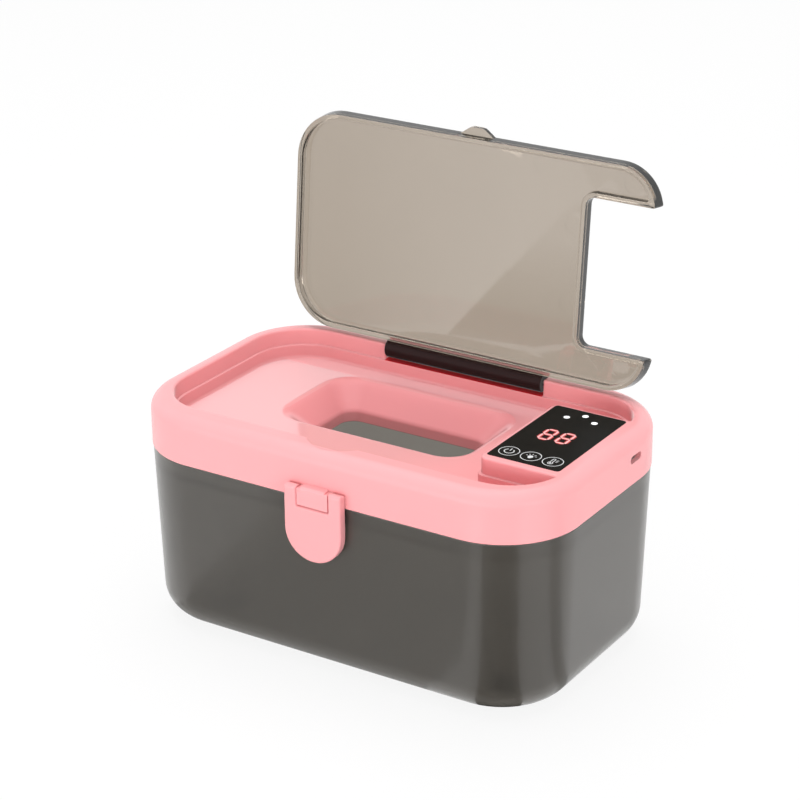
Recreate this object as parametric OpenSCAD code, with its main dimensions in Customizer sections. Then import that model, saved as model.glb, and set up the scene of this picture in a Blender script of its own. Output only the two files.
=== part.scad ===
// Baby wipe warmer: a smoked box, a pink upper housing hinged on it, and a smoked lid
// that closes over the dispensing slot. Millimetres, +Z up. The origin is on the surface
// that the feet stand on, under the middle of the box. The front, with the latch, is -Y.
// The control panel is at the +X end, and both hinges are at the back.

/* [Body] */
// Length of the body along its front
body_w = 200; // [180:1:260]
// Depth of the body from front to back
body_d = 123; // [115:1:160]
// Height of the rim above the surface
rim_z = 100.8; // [92:0.2:150]
// Radius of the upright corners
corner_r = 34.4; // [30:0.2:42]
// Height of the pink band around the top
band_h = 21.3; // [20:0.1:30]
// Wall thickness of the box and of the housing
wall = 2.4; // [1.8:0.1:3]

/* [Box] */
// How far the box wall stands in from the band
box_inset = 0.4; // [0.2:0.1:1]
// How far each box wall leans in towards the base
box_taper = 2.2; // [0:0.1:4]
// Radius between the box walls and its base
base_fillet = 13.6; // [6:0.2:18]
// Height that the locating tongue stands above the box wall
tongue_h = 2.8; // [2:0.1:4]
// Thickness of the locating tongue
tongue_t = 1.6; // [1.2:0.1:2]

/* [Feet] */
// Height of the rubber feet
foot_h = 1; // [0.6:0.1:3]
// Radius of a foot
foot_r = 6; // [4:0.5:10]
// Distance of a foot's centre from the box sides
foot_in = 32; // [28:1:45]

/* [Rim and tray] */
// Radius of the rim's outer edge
rim_fillet = 6; // [3:0.2:8]
// Width of the rim at both ends
rim_end = 8; // [6:0.1:12]
// Width of the rim at the front
rim_front = 11.7; // [9:0.1:16]
// Width of the rim at the back
rim_back = 10.2; // [9:0.1:16]
// Corner radius of the tray
tray_r = 25; // [16:0.5:30]
// Depth of the tray below the rim
tray_depth = 13.3; // [11:0.1:16]
// Depth of the step in the tray wall
step_depth = 7.4; // [6.8:0.1:9]
// Width of the step in the tray wall
step_in = 1; // [0.5:0.1:2]
// Thickness of the tray floor and inner walls
skin = 2.2; // [1.6:0.1:2.6]
// Depth of the half-round finger notch in the front rim
notch_in = 5.5; // [4.5:0.1:7]
// Radius of the finger notch
notch_r = 15.8; // [10:0.2:20]

/* [Dispensing well] */
// Length of the well at the tray floor
well_w = 91.6; // [70:0.2:95]
// Width of the well at the tray floor
well_d = 52.2; // [40:0.2:54]
// Corner radius of the well at the tray floor
well_r = 13; // [10:0.5:20]
// Middle of the well along the body
well_x = -8.7; // [-15:0.1:-5]
// Middle of the well across the body
well_y = 13.1; // [5:0.1:14]
// Depth of the well's sloping walls
well_depth = 10; // [8:0.1:11]
// Length of the slot
slot_w = 70.6; // [50:0.2:74]
// Width of the slot
slot_d = 30; // [20:0.2:34]
// Corner radius of the slot
slot_r = 6.5; // [4:0.5:10]
// Depth of the upright collar round the slot
collar_h = 5.3; // [4.5:0.1:6]

/* [Control panel] */
// Length of the raised podium from the tray's end wall
podium_w = 36; // [34:0.1:40]
// Width of the trench on each side of the podium
trench_w = 19.3; // [17:0.1:21]
// Radius of the podium's upright edges
podium_r = 4; // [2:0.5:6]
// Margin of pink at the panel's ends
panel_end = 1.6; // [1:0.1:3]
// Margin of pink in front of the panel
panel_front = 3.6; // [1:0.1:5]
// Margin of pink behind the panel
panel_back = 1.2; // [1:0.1:5]
// Thickness of the black panel
panel_t = 1.6; // [1:0.1:2]

/* [Lid] */
// Gap between the closed lid and the tray's end walls
lid_end_gap = 4.4; // [2:0.1:6]
// Gap between the closed lid and the tray's front wall
lid_front_gap = 2.9; // [1:0.1:4]
// Gap between the closed lid and the tray's back wall
lid_back_gap = 2.3; // [2:0.1:4]
// Gap between the lid's cut-out and the podium
lid_cut_gap = 0.9; // [0.5:0.1:2]
// Corner radius of the lid
lid_r = 21; // [12:0.5:26]
// Overall thickness of the lid
lid_t = 5.9; // [4.5:0.1:6.5]
// Thickness of the lid's plate
lid_plate = 2; // [1.5:0.1:2.5]
// Thickness of the lid's skirt
lid_skirt = 2.2; // [1.6:0.1:3]
// How much larger the lid is on top than at its edge, per side
lid_draft = 0.9; // [0:0.1:1.2]
// How far the closed lid's top lies below the rim
lid_sink = 0.7; // [0.3:0.1:1.5]
// Angle from closed to the open stop
lid_open = 95.25; // [90:0.25:110]
// Width of the finger tab
tab_w = 14; // [10:0.5:18]
// How far the finger tab stands out
tab_out = 3.2; // [2:0.1:4]

/* [Lid hinge] */
// Radius of the hinge barrel
barrel_r = 4.2; // [3.4:0.1:4.4]
// Length of the hinge barrel
barrel_w = 78; // [50:1:110]
// Distance of the axis behind the tray's back wall
lid_axis_back = 2.1; // [1.6:0.1:3]
// Depth of the axis below the rim
lid_axis_down = 2.2; // [1.6:0.1:3]
// Radius of the steel pins
lid_pin_r = 1.5; // [1:0.1:2]
// Length of each steel pin
lid_pin_w = 13; // [10:0.5:16]

/* [Latch] */
// Width of the latch
latch_w = 27; // [22:0.5:36]
// Thickness of the latch
latch_t = 3.9; // [3.4:0.1:4.6]
// Depth of the latch pin below the rim
latch_pin_down = 16.6; // [14:0.1:18]
// Distance from the latch pin down to the centre of the round end
latch_drop = 16.7; // [12:0.1:24]
// Width of the hinge block between the latch's ears
block_w = 14.8; // [10:0.2:18]
// Width of the small recesses in the block's upper corners
recess_w = 1.6; // [1:0.1:3]
// Radius of the latch pin
latch_pin_r = 0.9; // [0.7:0.1:1.1]

/* [Rear hinge] */
// Distance of each rear hinge from the middle
rear_x = 52; // [40:1:58]
// Width of a hinge knuckle
knuckle_w = 7; // [5:0.5:9]
// Radius of a hinge knuckle
knuckle_r = 2.6; // [2.2:0.1:3]
// Radius of the rear hinge pins
rear_pin_r = 1; // [0.8:0.1:1.2]
// Clearance round a knuckle in the other half
knuckle_room = 0.35; // [0.25:0.05:0.5]
// Length of a knuckle's gusset up or down the wall
gusset_l = 9; // [6:0.5:12]

/* [Inside] */
// Thickness of the inner cover
cover_t = 2.2; // [1.6:0.1:2.6]
// Thickness of the heater plate
plate_t = 1; // [0.8:0.1:1.5]
// Thickness of the heating film
film_t = 0.4; // [0.3:0.1:0.6]
// Thickness of the insulation pad
pad_t = 2.4; // [1.5:0.1:3]
// Thickness of the circuit board
board_t = 1.6; // [1:0.1:2]
// Width of the USB-C shell
usb_w = 8.94; // [8.9:0.02:9.1]
// Height of the USB-C shell
usb_h = 3.26; // [3.2:0.02:3.4]
// Length of the USB-C shell
usb_l = 7.35; // [6.5:0.05:9]
// Place of the socket across the body
usb_y = 20.6; // [10:0.2:22]
// Depth of the socket's middle below the rim
usb_down = 10; // [9:0.1:11]

/* [Fits] */
// Gap between neighbouring bodies
gap = 0.3; // [0.2:0.05:0.5]
// Radial clearance of a running pin
run = 0.05; // [0.02:0.01:0.1]

/* [Hidden] */
$fn = 64;

// Heights
band_z = rim_z - band_h;
box_top = band_z - gap;
floor_z = rim_z - tray_depth;
step_z = rim_z - step_depth;
slot_z = floor_z - well_depth;
collar_z = slot_z - collar_h;
under_floor = floor_z - skin;
cover_top = collar_z + cover_t;

// Tray and podium limits
tray_x0 = -body_w / 2 + rim_end;
tray_x1 = body_w / 2 - rim_end;
tray_y0 = -body_d / 2 + rim_front;
tray_y1 = body_d / 2 - rim_back;
podium_x0 = tray_x1 - podium_w;
podium_y0 = tray_y0 + trench_w;
podium_y1 = tray_y1 - trench_w;
panel_x0 = podium_x0 + panel_end;
panel_x1 = tray_x1 - panel_end;
panel_y0 = podium_y0 + panel_front;
panel_y1 = podium_y1 - panel_back;
panel_r = 1.5;
ledge_t = 1.8;

// Lid, closed
lid_x = tray_x1 - lid_end_gap;
lid_y0 = tray_y0 + lid_front_gap;
lid_y1 = tray_y1 - lid_back_gap;
lid_top = rim_z - lid_sink;
lid_z = lid_top - lid_t;
lid_axis_y = tray_y1 + lid_axis_back;
lid_axis_z = rim_z - lid_axis_down;
pocket_x = barrel_w / 2 + 0.5;
pocket_y = lid_axis_y + barrel_r + 0.7;
pocket_z = step_z;
boss_w = 8;

// Latch and rear hinge
latch_y = -body_d / 2 - gap - latch_t / 2;
latch_z = rim_z - latch_pin_down;
latch_low = latch_z - latch_drop;
latch_front = latch_y - latch_t / 2;
rear_y = -latch_front - knuckle_r;
rear_z = band_z - gap / 2;

// Inside the housing
band_in = wall;
tongue_out = box_inset + wall;
tongue_in = tongue_out + tongue_t;
cover_in = tongue_in + 0.8;
flange_in = band_in + gap;
gasket_z = box_top + tongue_h + gap;
gasket_h = 1.1;
flange_z = gasket_z + gasket_h;
usb_z = rim_z - usb_down;
board_z = usb_z - usb_h / 2 - board_t;
usb_x = body_w / 2 - wall - 0.2 - corner_bite(usb_y + usb_w / 2);
board_x0 = podium_x0 + skin + 1.5;
board_y0 = podium_y0 + skin + 1;
board_y1 = podium_y1 - skin - 1;
board_x1 = body_w / 2 - wall - max(0.8, 0.5 + corner_bite(max(-board_y0, board_y1)));
ceiling_z = rim_z - panel_t - ledge_t;
plate_z = cover_top;
film_z = plate_z + plate_t;
pad_z = film_z + film_t;
screw_r = 1.3;
head_r = 2.6;
head_h = 1.4;
post_r = 3.4;

// How far the inside of a round corner stands in from the end wall, at a distance from the middle
function corner_bite(y) =
  let (r = corner_r - wall, past = max(abs(y) - (body_d / 2 - corner_r), 0))
  r - sqrt(r * r - past * past);

// A rectangle with round corners, about its own centre
module round_rect(w, d, r) {
  square([w - 2 * r, d], center = true);
  square([w, d - 2 * r], center = true);
  for (sx = [-1, 1], sy = [-1, 1])
    translate([sx * (w / 2 - r), sy * (d / 2 - r)]) circle(r);
}

// The same rectangle between stated limits
module round_rect_at(x0, x1, y0, y1, r) {
  translate([(x0 + x1) / 2, (y0 + y1) / 2]) round_rect(x1 - x0, y1 - y0, r);
}

// A prism of the body's outline, moved in by a distance
module body_prism(inset, z0, z1) {
  translate([0, 0, z0])
    linear_extrude(z1 - z0)
      round_rect(body_w - 2 * inset, body_d - 2 * inset, corner_r - inset);
}

// A solid whose side profile runs round a rounded rectangle. The child is the profile,
// measured outwards from the corner's centre, and it has to reach that centre.
module loaf(w, d, r, z0, z1) {
  cx = w / 2 - r;
  cy = d / 2 - r;
  translate([-cx, -cy, z0]) cube([2 * cx, 2 * cy, z1 - z0]);
  for (side = [0, 180])
    rotate([0, 0, side]) {
      translate([cx, 0, 0]) rotate([90, 0, 0]) linear_extrude(2 * cy, center = true) children();
      translate([0, cy, 0]) rotate([90, 0, 90]) linear_extrude(2 * cx, center = true) children();
      translate([cx, cy, 0]) rotate_extrude(angle = 90) children();
      translate([-cx, cy, 0]) rotate([0, 0, 90]) rotate_extrude(angle = 90) children();
    }
}

// Side profile with a rounded top edge
module round_top(r, z0, z1, fillet) {
  translate([0, z0]) square([r, z1 - z0 - fillet]);
  translate([0, z0]) square([r - fillet, z1 - z0]);
  translate([r - fillet, z1 - fillet]) intersection() {
    circle(fillet);
    square(fillet);
  }
}

// Side profile that leans in towards a rounded bottom edge
module round_base(r, z0, z1, lean, fillet) {
  slope = atan(lean / (z1 - z0));
  low_r = r - lean - fillet;
  tangent = [low_r + fillet * cos(slope), z0 + fillet - fillet * sin(slope)];
  polygon([[0, z0], [low_r, z0], [low_r, z0 + fillet], tangent, [r, z1], [0, z1]]);
  translate([low_r, z0 + fillet]) intersection() {
    circle(fillet);
    translate([0, -fillet]) square(fillet);
    polygon([[0, 0], [0, -2 * fillet], [2 * fillet, -2 * fillet], [fillet * cos(slope), -fillet * sin(slope)]]);
  }
}

// The well's sloping walls, wider by a distance on every side
module well_funnel(grow, z0) {
  hull() {
    translate([well_x, well_y, floor_z]) linear_extrude(0.1)
      round_rect(well_w + 2 * grow, well_d + 2 * grow, well_r + grow);
    translate([well_x, well_y, z0]) linear_extrude(0.1)
      round_rect(slot_w + 2 * grow, slot_d + 2 * grow, slot_r + grow);
  }
}

// A prism of the slot's outline, wider by a distance
module slot_prism(grow, z0, z1) {
  translate([well_x, well_y, z0]) linear_extrude(z1 - z0)
    round_rect(slot_w + 2 * grow, slot_d + 2 * grow, slot_r + grow);
}

// The podium that carries the panel, joined to the end rim
module podium_2d(grow) {
  round_rect_at(podium_x0 - grow, tray_x1 + podium_r * 3, podium_y0 - grow, podium_y1 + grow, podium_r);
}

// The tray around the podium, wider by a distance on every side
module tray_2d(grow) {
  difference() {
    round_rect_at(tray_x0 - grow, tray_x1 + grow, tray_y0 - grow, tray_y1 + grow, tray_r + grow);
    podium_2d(-grow);
  }
}

// The pocket in the back rim that the lid's hinge barrel turns in
module barrel_pocket(grow) {
  translate([-pocket_x - grow, tray_y1 - skin, pocket_z - grow])
    cube([2 * (pocket_x + grow), pocket_y - tray_y1 + skin + grow, rim_z - pocket_z + 2 * grow + 1]);
}

// Where the cover screws stand
screw_x = body_w / 2 - 20;
screw_y = body_d / 2 - 21.5;
mid_screw_y = body_d / 2 - 15.5;
function cover_points() = [
  [-screw_x, -screw_y], [screw_x, -screw_y], [-screw_x, screw_y], [screw_x, screw_y],
  [0, -mid_screw_y], [0, mid_screw_y]
];

// Where the board screws stand
board_points = [
  for (x = [board_x0 + 3.2, board_x1 - 6], y = [board_y0 + 15, board_y1 - 20]) [x, y]
];

// ---- The box ----

module box_wall_solid(inset, z0, z1) {
  r = corner_r - box_inset - inset;
  loaf(body_w - 2 * (box_inset + inset), body_d - 2 * (box_inset + inset), r, z0, z1)
    round_base(r, z0, z1, box_taper, base_fillet - inset);
}

module knuckles(centre, count, x_gap) {
  for (i = [0:count - 1])
    translate([centre + (i - (count - 1) / 2) * x_gap, rear_y, rear_z]) rotate([0, 90, 0])
      cylinder(r = knuckle_r, h = knuckle_w, center = true);
}

// A gusset from a knuckle to the wall, below it for the box and above it for the housing
module gusset(x, dir, reach) {
  translate([x - knuckle_w / 2, 0, 0]) rotate([90, 0, 90]) linear_extrude(knuckle_w)
    polygon([
      [reach, rear_z + dir * 0.3], [rear_y + knuckle_r - 0.4, rear_z + dir * 0.3],
      [rear_y + knuckle_r - 0.4, rear_z + dir * 1.2], [reach, rear_z + dir * gusset_l]
    ]);
}

// Room for the other half's knuckles
module knuckle_relief(x, w) {
  translate([x, rear_y, rear_z]) rotate([0, 90, 0])
    cylinder(r = knuckle_r + knuckle_room, h = w, center = true);
}

module lower_box() {
  pitch = 2 * (knuckle_w + gap);
  ridge_w = 16;
  color([0.30, 0.29, 0.27, 0.8]) difference() {
    union() {
      difference() {
        box_wall_solid(0, foot_h, box_top);
        box_wall_solid(wall, foot_h + wall, box_top + 1);
      }
      difference() {
        body_prism(tongue_out - 0.3, box_top - 6, box_top);
        body_prism(tongue_in, box_top - 7, box_top + 1);
      }
      difference() {
        body_prism(tongue_out, box_top - 1, box_top + tongue_h);
        body_prism(tongue_in, box_top - 7, box_top + tongue_h + 1);
      }
      for (s = [-1, 1]) {
        knuckles(s * rear_x, 2, pitch);
        for (t = [-1, 1])
          gusset(s * rear_x + t * pitch / 2, -1, body_d / 2 - box_inset - 1.2);
      }
      // The catch ridge behind the latch
      translate([-ridge_w / 2, -body_d / 2 - gap, latch_low - 2]) cube([ridge_w, 2, 2]);
    }
    for (s = [-1, 1]) {
      knuckle_relief(s * rear_x, knuckle_w + 2 * gap);
      translate([s * rear_x, rear_y, rear_z]) rotate([0, 90, 0])
        cylinder(r = rear_pin_r + 0.01, h = 3 * knuckle_w + 4 * gap, center = true);
    }
  }
}

module rubber_feet() {
  x = body_w / 2 - foot_in;
  y = body_d / 2 - foot_in;
  color("dimgray")
    for (sx = [-1, 1], sy = [-1, 1])
      translate([sx * x, sy * y, 0]) cylinder(r = foot_r, h = foot_h);
}

module rear_hinge_pins() {
  w = 3 * knuckle_w + 2 * gap;
  color("silver")
    for (s = [-1, 1])
      translate([s * rear_x, rear_y, rear_z]) rotate([0, 90, 0])
        cylinder(r = rear_pin_r, h = w, center = true);
}

// ---- The upper housing ----

module housing_outside() {
  loaf(body_w, body_d, corner_r, band_z, rim_z)
    round_top(corner_r, band_z, rim_z, rim_fillet);
}

// The space inside the housing, open below
module housing_inside() {
  top = rim_z - wall;
  difference() {
    loaf(body_w - 2 * wall, body_d - 2 * wall, corner_r - wall, band_z - 1, top)
      round_top(corner_r - wall, band_z - 1, top, rim_fillet - wall);
    translate([0, 0, under_floor]) linear_extrude(tray_depth + skin + 1) tray_2d(skin);
    barrel_pocket(skin);
    // The ceiling over the board carries the panel
    translate([podium_x0, podium_y0, ceiling_z - 0.01])
      cube([podium_w + 1, podium_y1 - podium_y0, panel_t + ledge_t + 1]);
    finger_notch(skin);
    for (s = [-1, 1])
      translate([s * (pocket_x + boss_w / 2), lid_axis_y, lid_axis_z])
        cube([boss_w, 2 * barrel_r + 8, 9], center = true);
  }
}

// The notch in the front rim for a fingertip under the lid's tab
module finger_notch(grow) {
  translate([0, tray_y0 - notch_in + notch_r, step_z - grow])
    cylinder(r = notch_r + grow, h = step_depth + 2 * grow + 1);
}

module latch_block() {
  bottom = latch_z - 6.4;
  front = latch_y - latch_t / 2 + 0.2;
  root = -body_d / 2 + 0.6;
  translate([-block_w / 2, 0, 0]) rotate([90, 0, 90]) linear_extrude(block_w)
    polygon([
      [-body_d / 2, bottom], [front + 0.9, bottom], [front, bottom + 1],
      [front, latch_z + 0.7], [front + 0.9, latch_z + 1.8], [root, latch_z + 2.2],
      [root, band_z], [-body_d / 2, band_z]
    ]);
}

// The two small recesses in the block's upper corners
module block_recesses() {
  for (s = [-1, 1])
    translate([s * block_w / 2, latch_y - latch_t, latch_z + latch_pin_r + 0.3])
      translate([-recess_w, 0, 0]) cube([2 * recess_w, latch_t + 1.6, 4]);
}

module usb_opening(grow, l) {
  h = usb_h + 2 * grow;
  w = usb_w + 2 * grow;
  rotate([90, 0, 90]) linear_extrude(l, center = true) {
    square([w - h, h], center = true);
    for (s = [-1, 1]) translate([s * (w - h) / 2, 0]) circle(h / 2);
  }
}

module upper_housing() {
  color([0.98, 0.72, 0.72]) difference() {
    union() {
      difference() {
        housing_outside();
        housing_inside();
      }
      // Walls of the well, and the collar round the slot
      well_funnel(skin + 0.8, slot_z);
      slot_prism(skin, collar_z, slot_z + 1);
      // Posts for the cover screws, down to the cover
      for (p = cover_points())
        translate([p[0], p[1], cover_top]) cylinder(r = post_r, h = under_floor - cover_top + 1);
      // Posts for the board screws, down to the board
      for (p = board_points)
        translate([p[0], p[1], board_z + board_t]) cylinder(r = 2.6, h = ceiling_z - board_z - 1);
      for (s = [-1, 1]) {
        knuckles(s * rear_x, 1, 0);
        gusset(s * rear_x, 1, body_d / 2 - 1.2);
      }
      latch_block();
    }
    // Tray, with its step
    translate([0, 0, step_z]) linear_extrude(step_depth + 1) tray_2d(0);
    translate([0, 0, floor_z]) linear_extrude(tray_depth + 1) tray_2d(-step_in);
    intersection() {
      finger_notch(0);
      translate([-body_w / 2, -body_d / 2, step_z]) cube([body_w, rim_front + lid_front_gap, 20]);
    }
    barrel_pocket(0);
    block_recesses();
    well_funnel(0, slot_z);
    slot_prism(0, collar_z - 1, slot_z + 1);
    // Seat of the panel, with windows for the display, the lamps and the touch springs
    translate([0, 0, rim_z - panel_t]) linear_extrude(panel_t + 1)
      round_rect_at(panel_x0 - 0.1, panel_x1 + 0.1, panel_y0 - 0.1, panel_y1 + 0.1, panel_r + 0.1);
    translate([display_x, display_y, ceiling_z]) cube([display_w + 1, display_d + 1, 9], center = true);
    for (p = lamp_points) translate([p[0], p[1], ceiling_z - 1]) cylinder(r = 2, h = 5);
    for (p = key_points) translate([p[0], p[1], ceiling_z - 1]) cylinder(r = spring_r + 0.5, h = 5);
    translate([body_w / 2, usb_y, usb_z]) usb_opening(0.05, 3 * wall);
    // Bores of the hinges
    translate([0, lid_axis_y, lid_axis_z]) rotate([0, 90, 0])
      cylinder(r = lid_pin_r + 0.01, h = 2 * (pocket_x + boss_w - 1), center = true);
    translate([0, latch_y, latch_z]) rotate([0, 90, 0])
      cylinder(r = latch_pin_r + 0.01, h = latch_w, center = true);
    for (s = [-1, 1]) {
      translate([s * rear_x, rear_y, rear_z]) rotate([0, 90, 0])
        cylinder(r = rear_pin_r + run, h = 2 * knuckle_w, center = true);
      for (t = [-1, 1])
        knuckle_relief(s * rear_x + t * (knuckle_w + gap), knuckle_w + 2 * gap);
    }
    // Pilot holes of the screws
    for (p = cover_points())
      translate([p[0], p[1], cover_top - 1]) cylinder(r = screw_r - 0.2, h = 9);
    for (p = board_points)
      translate([p[0], p[1], board_z]) cylinder(r = 0.9, h = board_t + 5);
  }
}

// ---- Inside the housing ----

// Places on the panel
panel_mid_x = (panel_x0 + panel_x1) / 2;
display_x = panel_mid_x - 0.6;
display_y = (panel_y0 + panel_y1) / 2 + 0.4;
display_w = 16;
display_d = 11;
spring_r = 3;
key_pitch = 9.9;
key_points = [for (i = [-1:1]) [panel_mid_x + i * key_pitch, panel_y0 + 7.2]];
lamp_points = [
  [panel_mid_x - 6.7, panel_y1 - 9.1], [panel_mid_x - 0.5, panel_y1 - 4.5], [panel_mid_x + 6, panel_y1 - 8.9]
];

module inner_cover() {
  color("whitesmoke") difference() {
    union() {
      body_prism(cover_in, collar_z, flange_z + 0.6);
      body_prism(flange_in, flange_z, flange_z + 1.5);
    }
    body_prism(cover_in + 1.6, cover_top, flange_z + 3);
    slot_prism(skin + gap, collar_z - 1, cover_top + 1);
    for (p = cover_points()) {
      translate([p[0], p[1], collar_z - 1]) cylinder(r = screw_r + 0.2, h = cover_t + 2);
      translate([p[0], p[1], collar_z - 1]) cylinder(r = head_r + 0.3, h = head_h + 1);
    }
  }
}

module seal_gasket() {
  color("white") difference() {
    body_prism(tongue_out - 0.2, gasket_z, flange_z);
    body_prism(tongue_in + 0.2, gasket_z - 1, flange_z + 1);
  }
}

module cover_screws() {
  color("silver")
    for (p = cover_points()) {
      translate([p[0], p[1], collar_z + head_h - 1.2]) cylinder(r = head_r, h = 1.2);
      translate([p[0], p[1], collar_z + head_h - 0.5]) cylinder(r = screw_r - 0.2, h = 8);
    }
}

// The heater's outline: a ring round the slot that the screw posts stay clear of
module heater_2d(window) {
  difference() {
    round_rect_at(tray_x0 + 24, podium_x0 - 4, -body_d / 2 + 20, body_d / 2 - 20.5, 8);
    translate([well_x, well_y])
      round_rect(slot_w + 2 * window, slot_d + 2 * window, slot_r + window);
  }
}

module heater_plate() {
  color("lightgray") translate([0, 0, plate_z]) linear_extrude(plate_t) heater_2d(skin + 0.6);
}

module heating_film() {
  color("darkorange") translate([0, 0, film_z]) linear_extrude(film_t) heater_2d(skin + 1.4);
}

module insulation_pad() {
  color("dimgray") translate([0, 0, pad_z]) linear_extrude(pad_t)
    difference() {
      heater_2d(skin + 6);
      for (p = sensor_points) translate(p) square([14, 6], center = true);
      translate([podium_x0 - 5, lead_y[0] + 2]) square([10, 8], center = true);
    }
}

// The sensor and the fuse lie on the film, in openings of the pad
sensor_points = [[podium_x0 - 14, -22], [podium_x0 - 40, -22]];
sensor_r = 1.25;
fuse_r = 1.75;
fuse_w = 9;
wire_r = 0.4;

// A sleeved sensor with its two wires as one stem
module ntc_sensor() {
  color("black") translate([sensor_points[0][0], sensor_points[0][1], pad_z + sensor_r])
    rotate([0, 90, 0]) {
      cylinder(r = sensor_r, h = 3.4, center = true);
      cylinder(r = 2 * wire_r, h = 5.5);
    }
}

module thermal_fuse() {
  color("silver") translate([sensor_points[1][0], sensor_points[1][1], pad_z + fuse_r])
    rotate([0, 90, 0]) {
      cylinder(r = fuse_r, h = fuse_w, center = true);
      cylinder(r = wire_r, h = fuse_w + 4, center = true);
    }
}

// Two wires from the board down to the film, beside the pad
lead_r = 0.7;
lead_y = [-8, -4];
lead_bend = 3;
module heater_leads() {
  x = board_x0 + 4;
  low = pad_z + lead_r;
  high = board_z;
  run_l = 12;
  color("firebrick")
    for (y = lead_y) {
      translate([x, y, low + lead_bend]) cylinder(r = lead_r, h = high - low - lead_bend);
      translate([x - lead_bend, y, low + lead_bend]) rotate([90, 0, 0])
        intersection() {
          rotate_extrude() translate([lead_bend, 0]) circle(lead_r, $fn = 24);
          translate([0, -5, -5]) cube([5, 5, 10]);
        }
      translate([x - lead_bend - run_l, y, low]) rotate([0, 90, 0]) cylinder(r = lead_r, h = run_l);
    }
}

module control_board() {
  color("darkgreen") difference() {
    union() {
      translate([board_x0, board_y0, board_z])
        cube([board_x1 - board_x0, board_y1 - board_y0, board_t]);
      // Main chip and two capacitors
      translate([board_x0 + 9, board_y0 + 14, board_z - 1.2]) cube([7, 7, 1.3]);
      for (i = [0, 1])
        translate([board_x0 + 22 + 7 * i, board_y0 + 26, board_z - 4]) cylinder(r = 2.5, h = 4.1);
    }
    for (p = board_points) translate([p[0], p[1], board_z - 1]) cylinder(r = 1.2, h = board_t + 2);
  }
}

module board_screws() {
  color("silver")
    for (p = board_points) {
      translate([p[0], p[1], board_z - 1.2]) cylinder(r = 2, h = 1.2);
      translate([p[0], p[1], board_z - 0.5]) cylinder(r = 0.9, h = board_t + 4);
    }
}

module display_module() {
  top = rim_z - panel_t - 0.1;
  color("black") translate([display_x - display_w / 2, display_y - display_d / 2, board_z + board_t])
    cube([display_w, display_d, top - board_z - board_t]);
}

module indicator_leds() {
  top = rim_z - panel_t - 0.3;
  color("white")
    for (p = lamp_points)
      translate([p[0], p[1], board_z + board_t]) cylinder(r = 1.5, h = top - board_z - board_t);
}

module touch_springs() {
  top = rim_z - panel_t;
  color("gold")
    for (p = key_points)
      translate([p[0], p[1], board_z + board_t]) difference() {
        cylinder(r = spring_r, h = top - board_z - board_t);
        translate([0, 0, -1]) cylinder(r = spring_r - 0.6, h = top - board_z - board_t);
      }
}

module control_panel() {
  color([0.06, 0.06, 0.07]) translate([0, 0, rim_z - panel_t])
    linear_extrude(panel_t) round_rect_at(panel_x0, panel_x1, panel_y0, panel_y1, panel_r);
}

module usb_shell() {
  color("silver") translate([usb_x - usb_l / 2, usb_y, usb_z])
    difference() {
      usb_opening(0, usb_l);
      translate([0.4, 0, 0]) usb_opening(-0.3, usb_l);
    }
}

module usb_tongue() {
  l = usb_l - 1.2;
  color([0.12, 0.12, 0.13]) translate([usb_x - usb_l + 0.5, usb_y, usb_z])
    translate([0, -3.3, -0.35]) cube([l, 6.6, 0.7]);
}

module latch_pin() {
  color("silver") translate([0, latch_y, latch_z]) rotate([0, 90, 0])
    cylinder(r = latch_pin_r, h = latch_w - 2, center = true);
}

module lid_hinge_pins() {
  x = pocket_x + boss_w - 1.5;
  color("silver")
    for (s = [-1, 1])
      translate([s * (x - lid_pin_w / 2), lid_axis_y, lid_axis_z]) rotate([0, 90, 0])
        cylinder(r = lid_pin_r, h = lid_pin_w, center = true);
}

// ---- The lid ----

// Turns a piece drawn closed to its open rest place
module opened() {
  translate([0, lid_axis_y, lid_axis_z]) rotate([-lid_open, 0, 0])
    translate([0, -lid_axis_y, -lid_axis_z]) children();
}

// Solid with the lid's outline, in by a distance, with the skirt's draft
module lid_solid(inset, z0, z1) {
  w = 2 * (lid_x - inset);
  d = lid_y1 - lid_y0 - 2 * inset;
  r = lid_r - inset;
  flare = lid_draft / lid_t * (z1 - z0);
  translate([0, (lid_y0 + lid_y1) / 2, 0])
    loaf(w, d, r, z0, z1)
      polygon([[0, z0], [r, z0], [r + flare, z1], [0, z1]]);
}

// The cut-out that clears the podium, wider by a distance
module lid_cut(grow, z0, z1) {
  reach = lid_x + lid_r;
  translate([0, 0, z0]) linear_extrude(z1 - z0)
    round_rect_at(podium_x0 - lid_cut_gap - grow, reach,
      podium_y0 - lid_cut_gap - grow, podium_y1 + lid_cut_gap + grow, podium_r + grow);
}

module lid() {
  color([0.55, 0.51, 0.47, 0.6]) opened() difference() {
    union() {
      lid_solid(0, lid_z, lid_top);
      // Finger tab on the front edge
      tab_r = (tab_w * tab_w / 4 + tab_out * tab_out) / (2 * tab_out);
      intersection() {
        translate([0, lid_y0 - lid_draft - tab_out + tab_r, lid_top - 2]) cylinder(r = tab_r, h = 2);
        translate([-tab_w, lid_y0 - 10, lid_z]) cube([2 * tab_w, 11, lid_t]);
      }
    }
    difference() {
      lid_solid(lid_skirt, lid_z - 1, lid_top - lid_plate);
      lid_cut(lid_skirt, lid_z - 2, lid_top);
    }
    lid_cut(0, lid_z - 1, lid_top + 1);
    translate([0, lid_axis_y, lid_axis_z]) rotate([0, 90, 0])
      cylinder(r = barrel_r + 0.05, h = barrel_w + 0.4, center = true);
  }
}

module lid_hinge_barrel() {
  color([0.17, 0.14, 0.14]) opened()
    translate([0, lid_axis_y, lid_axis_z]) rotate([0, 90, 0]) difference() {
      cylinder(r = barrel_r, h = barrel_w, center = true);
      cylinder(r = lid_pin_r + run, h = barrel_w + 1, center = true);
    }
}

// ---- The latch ----

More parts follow.
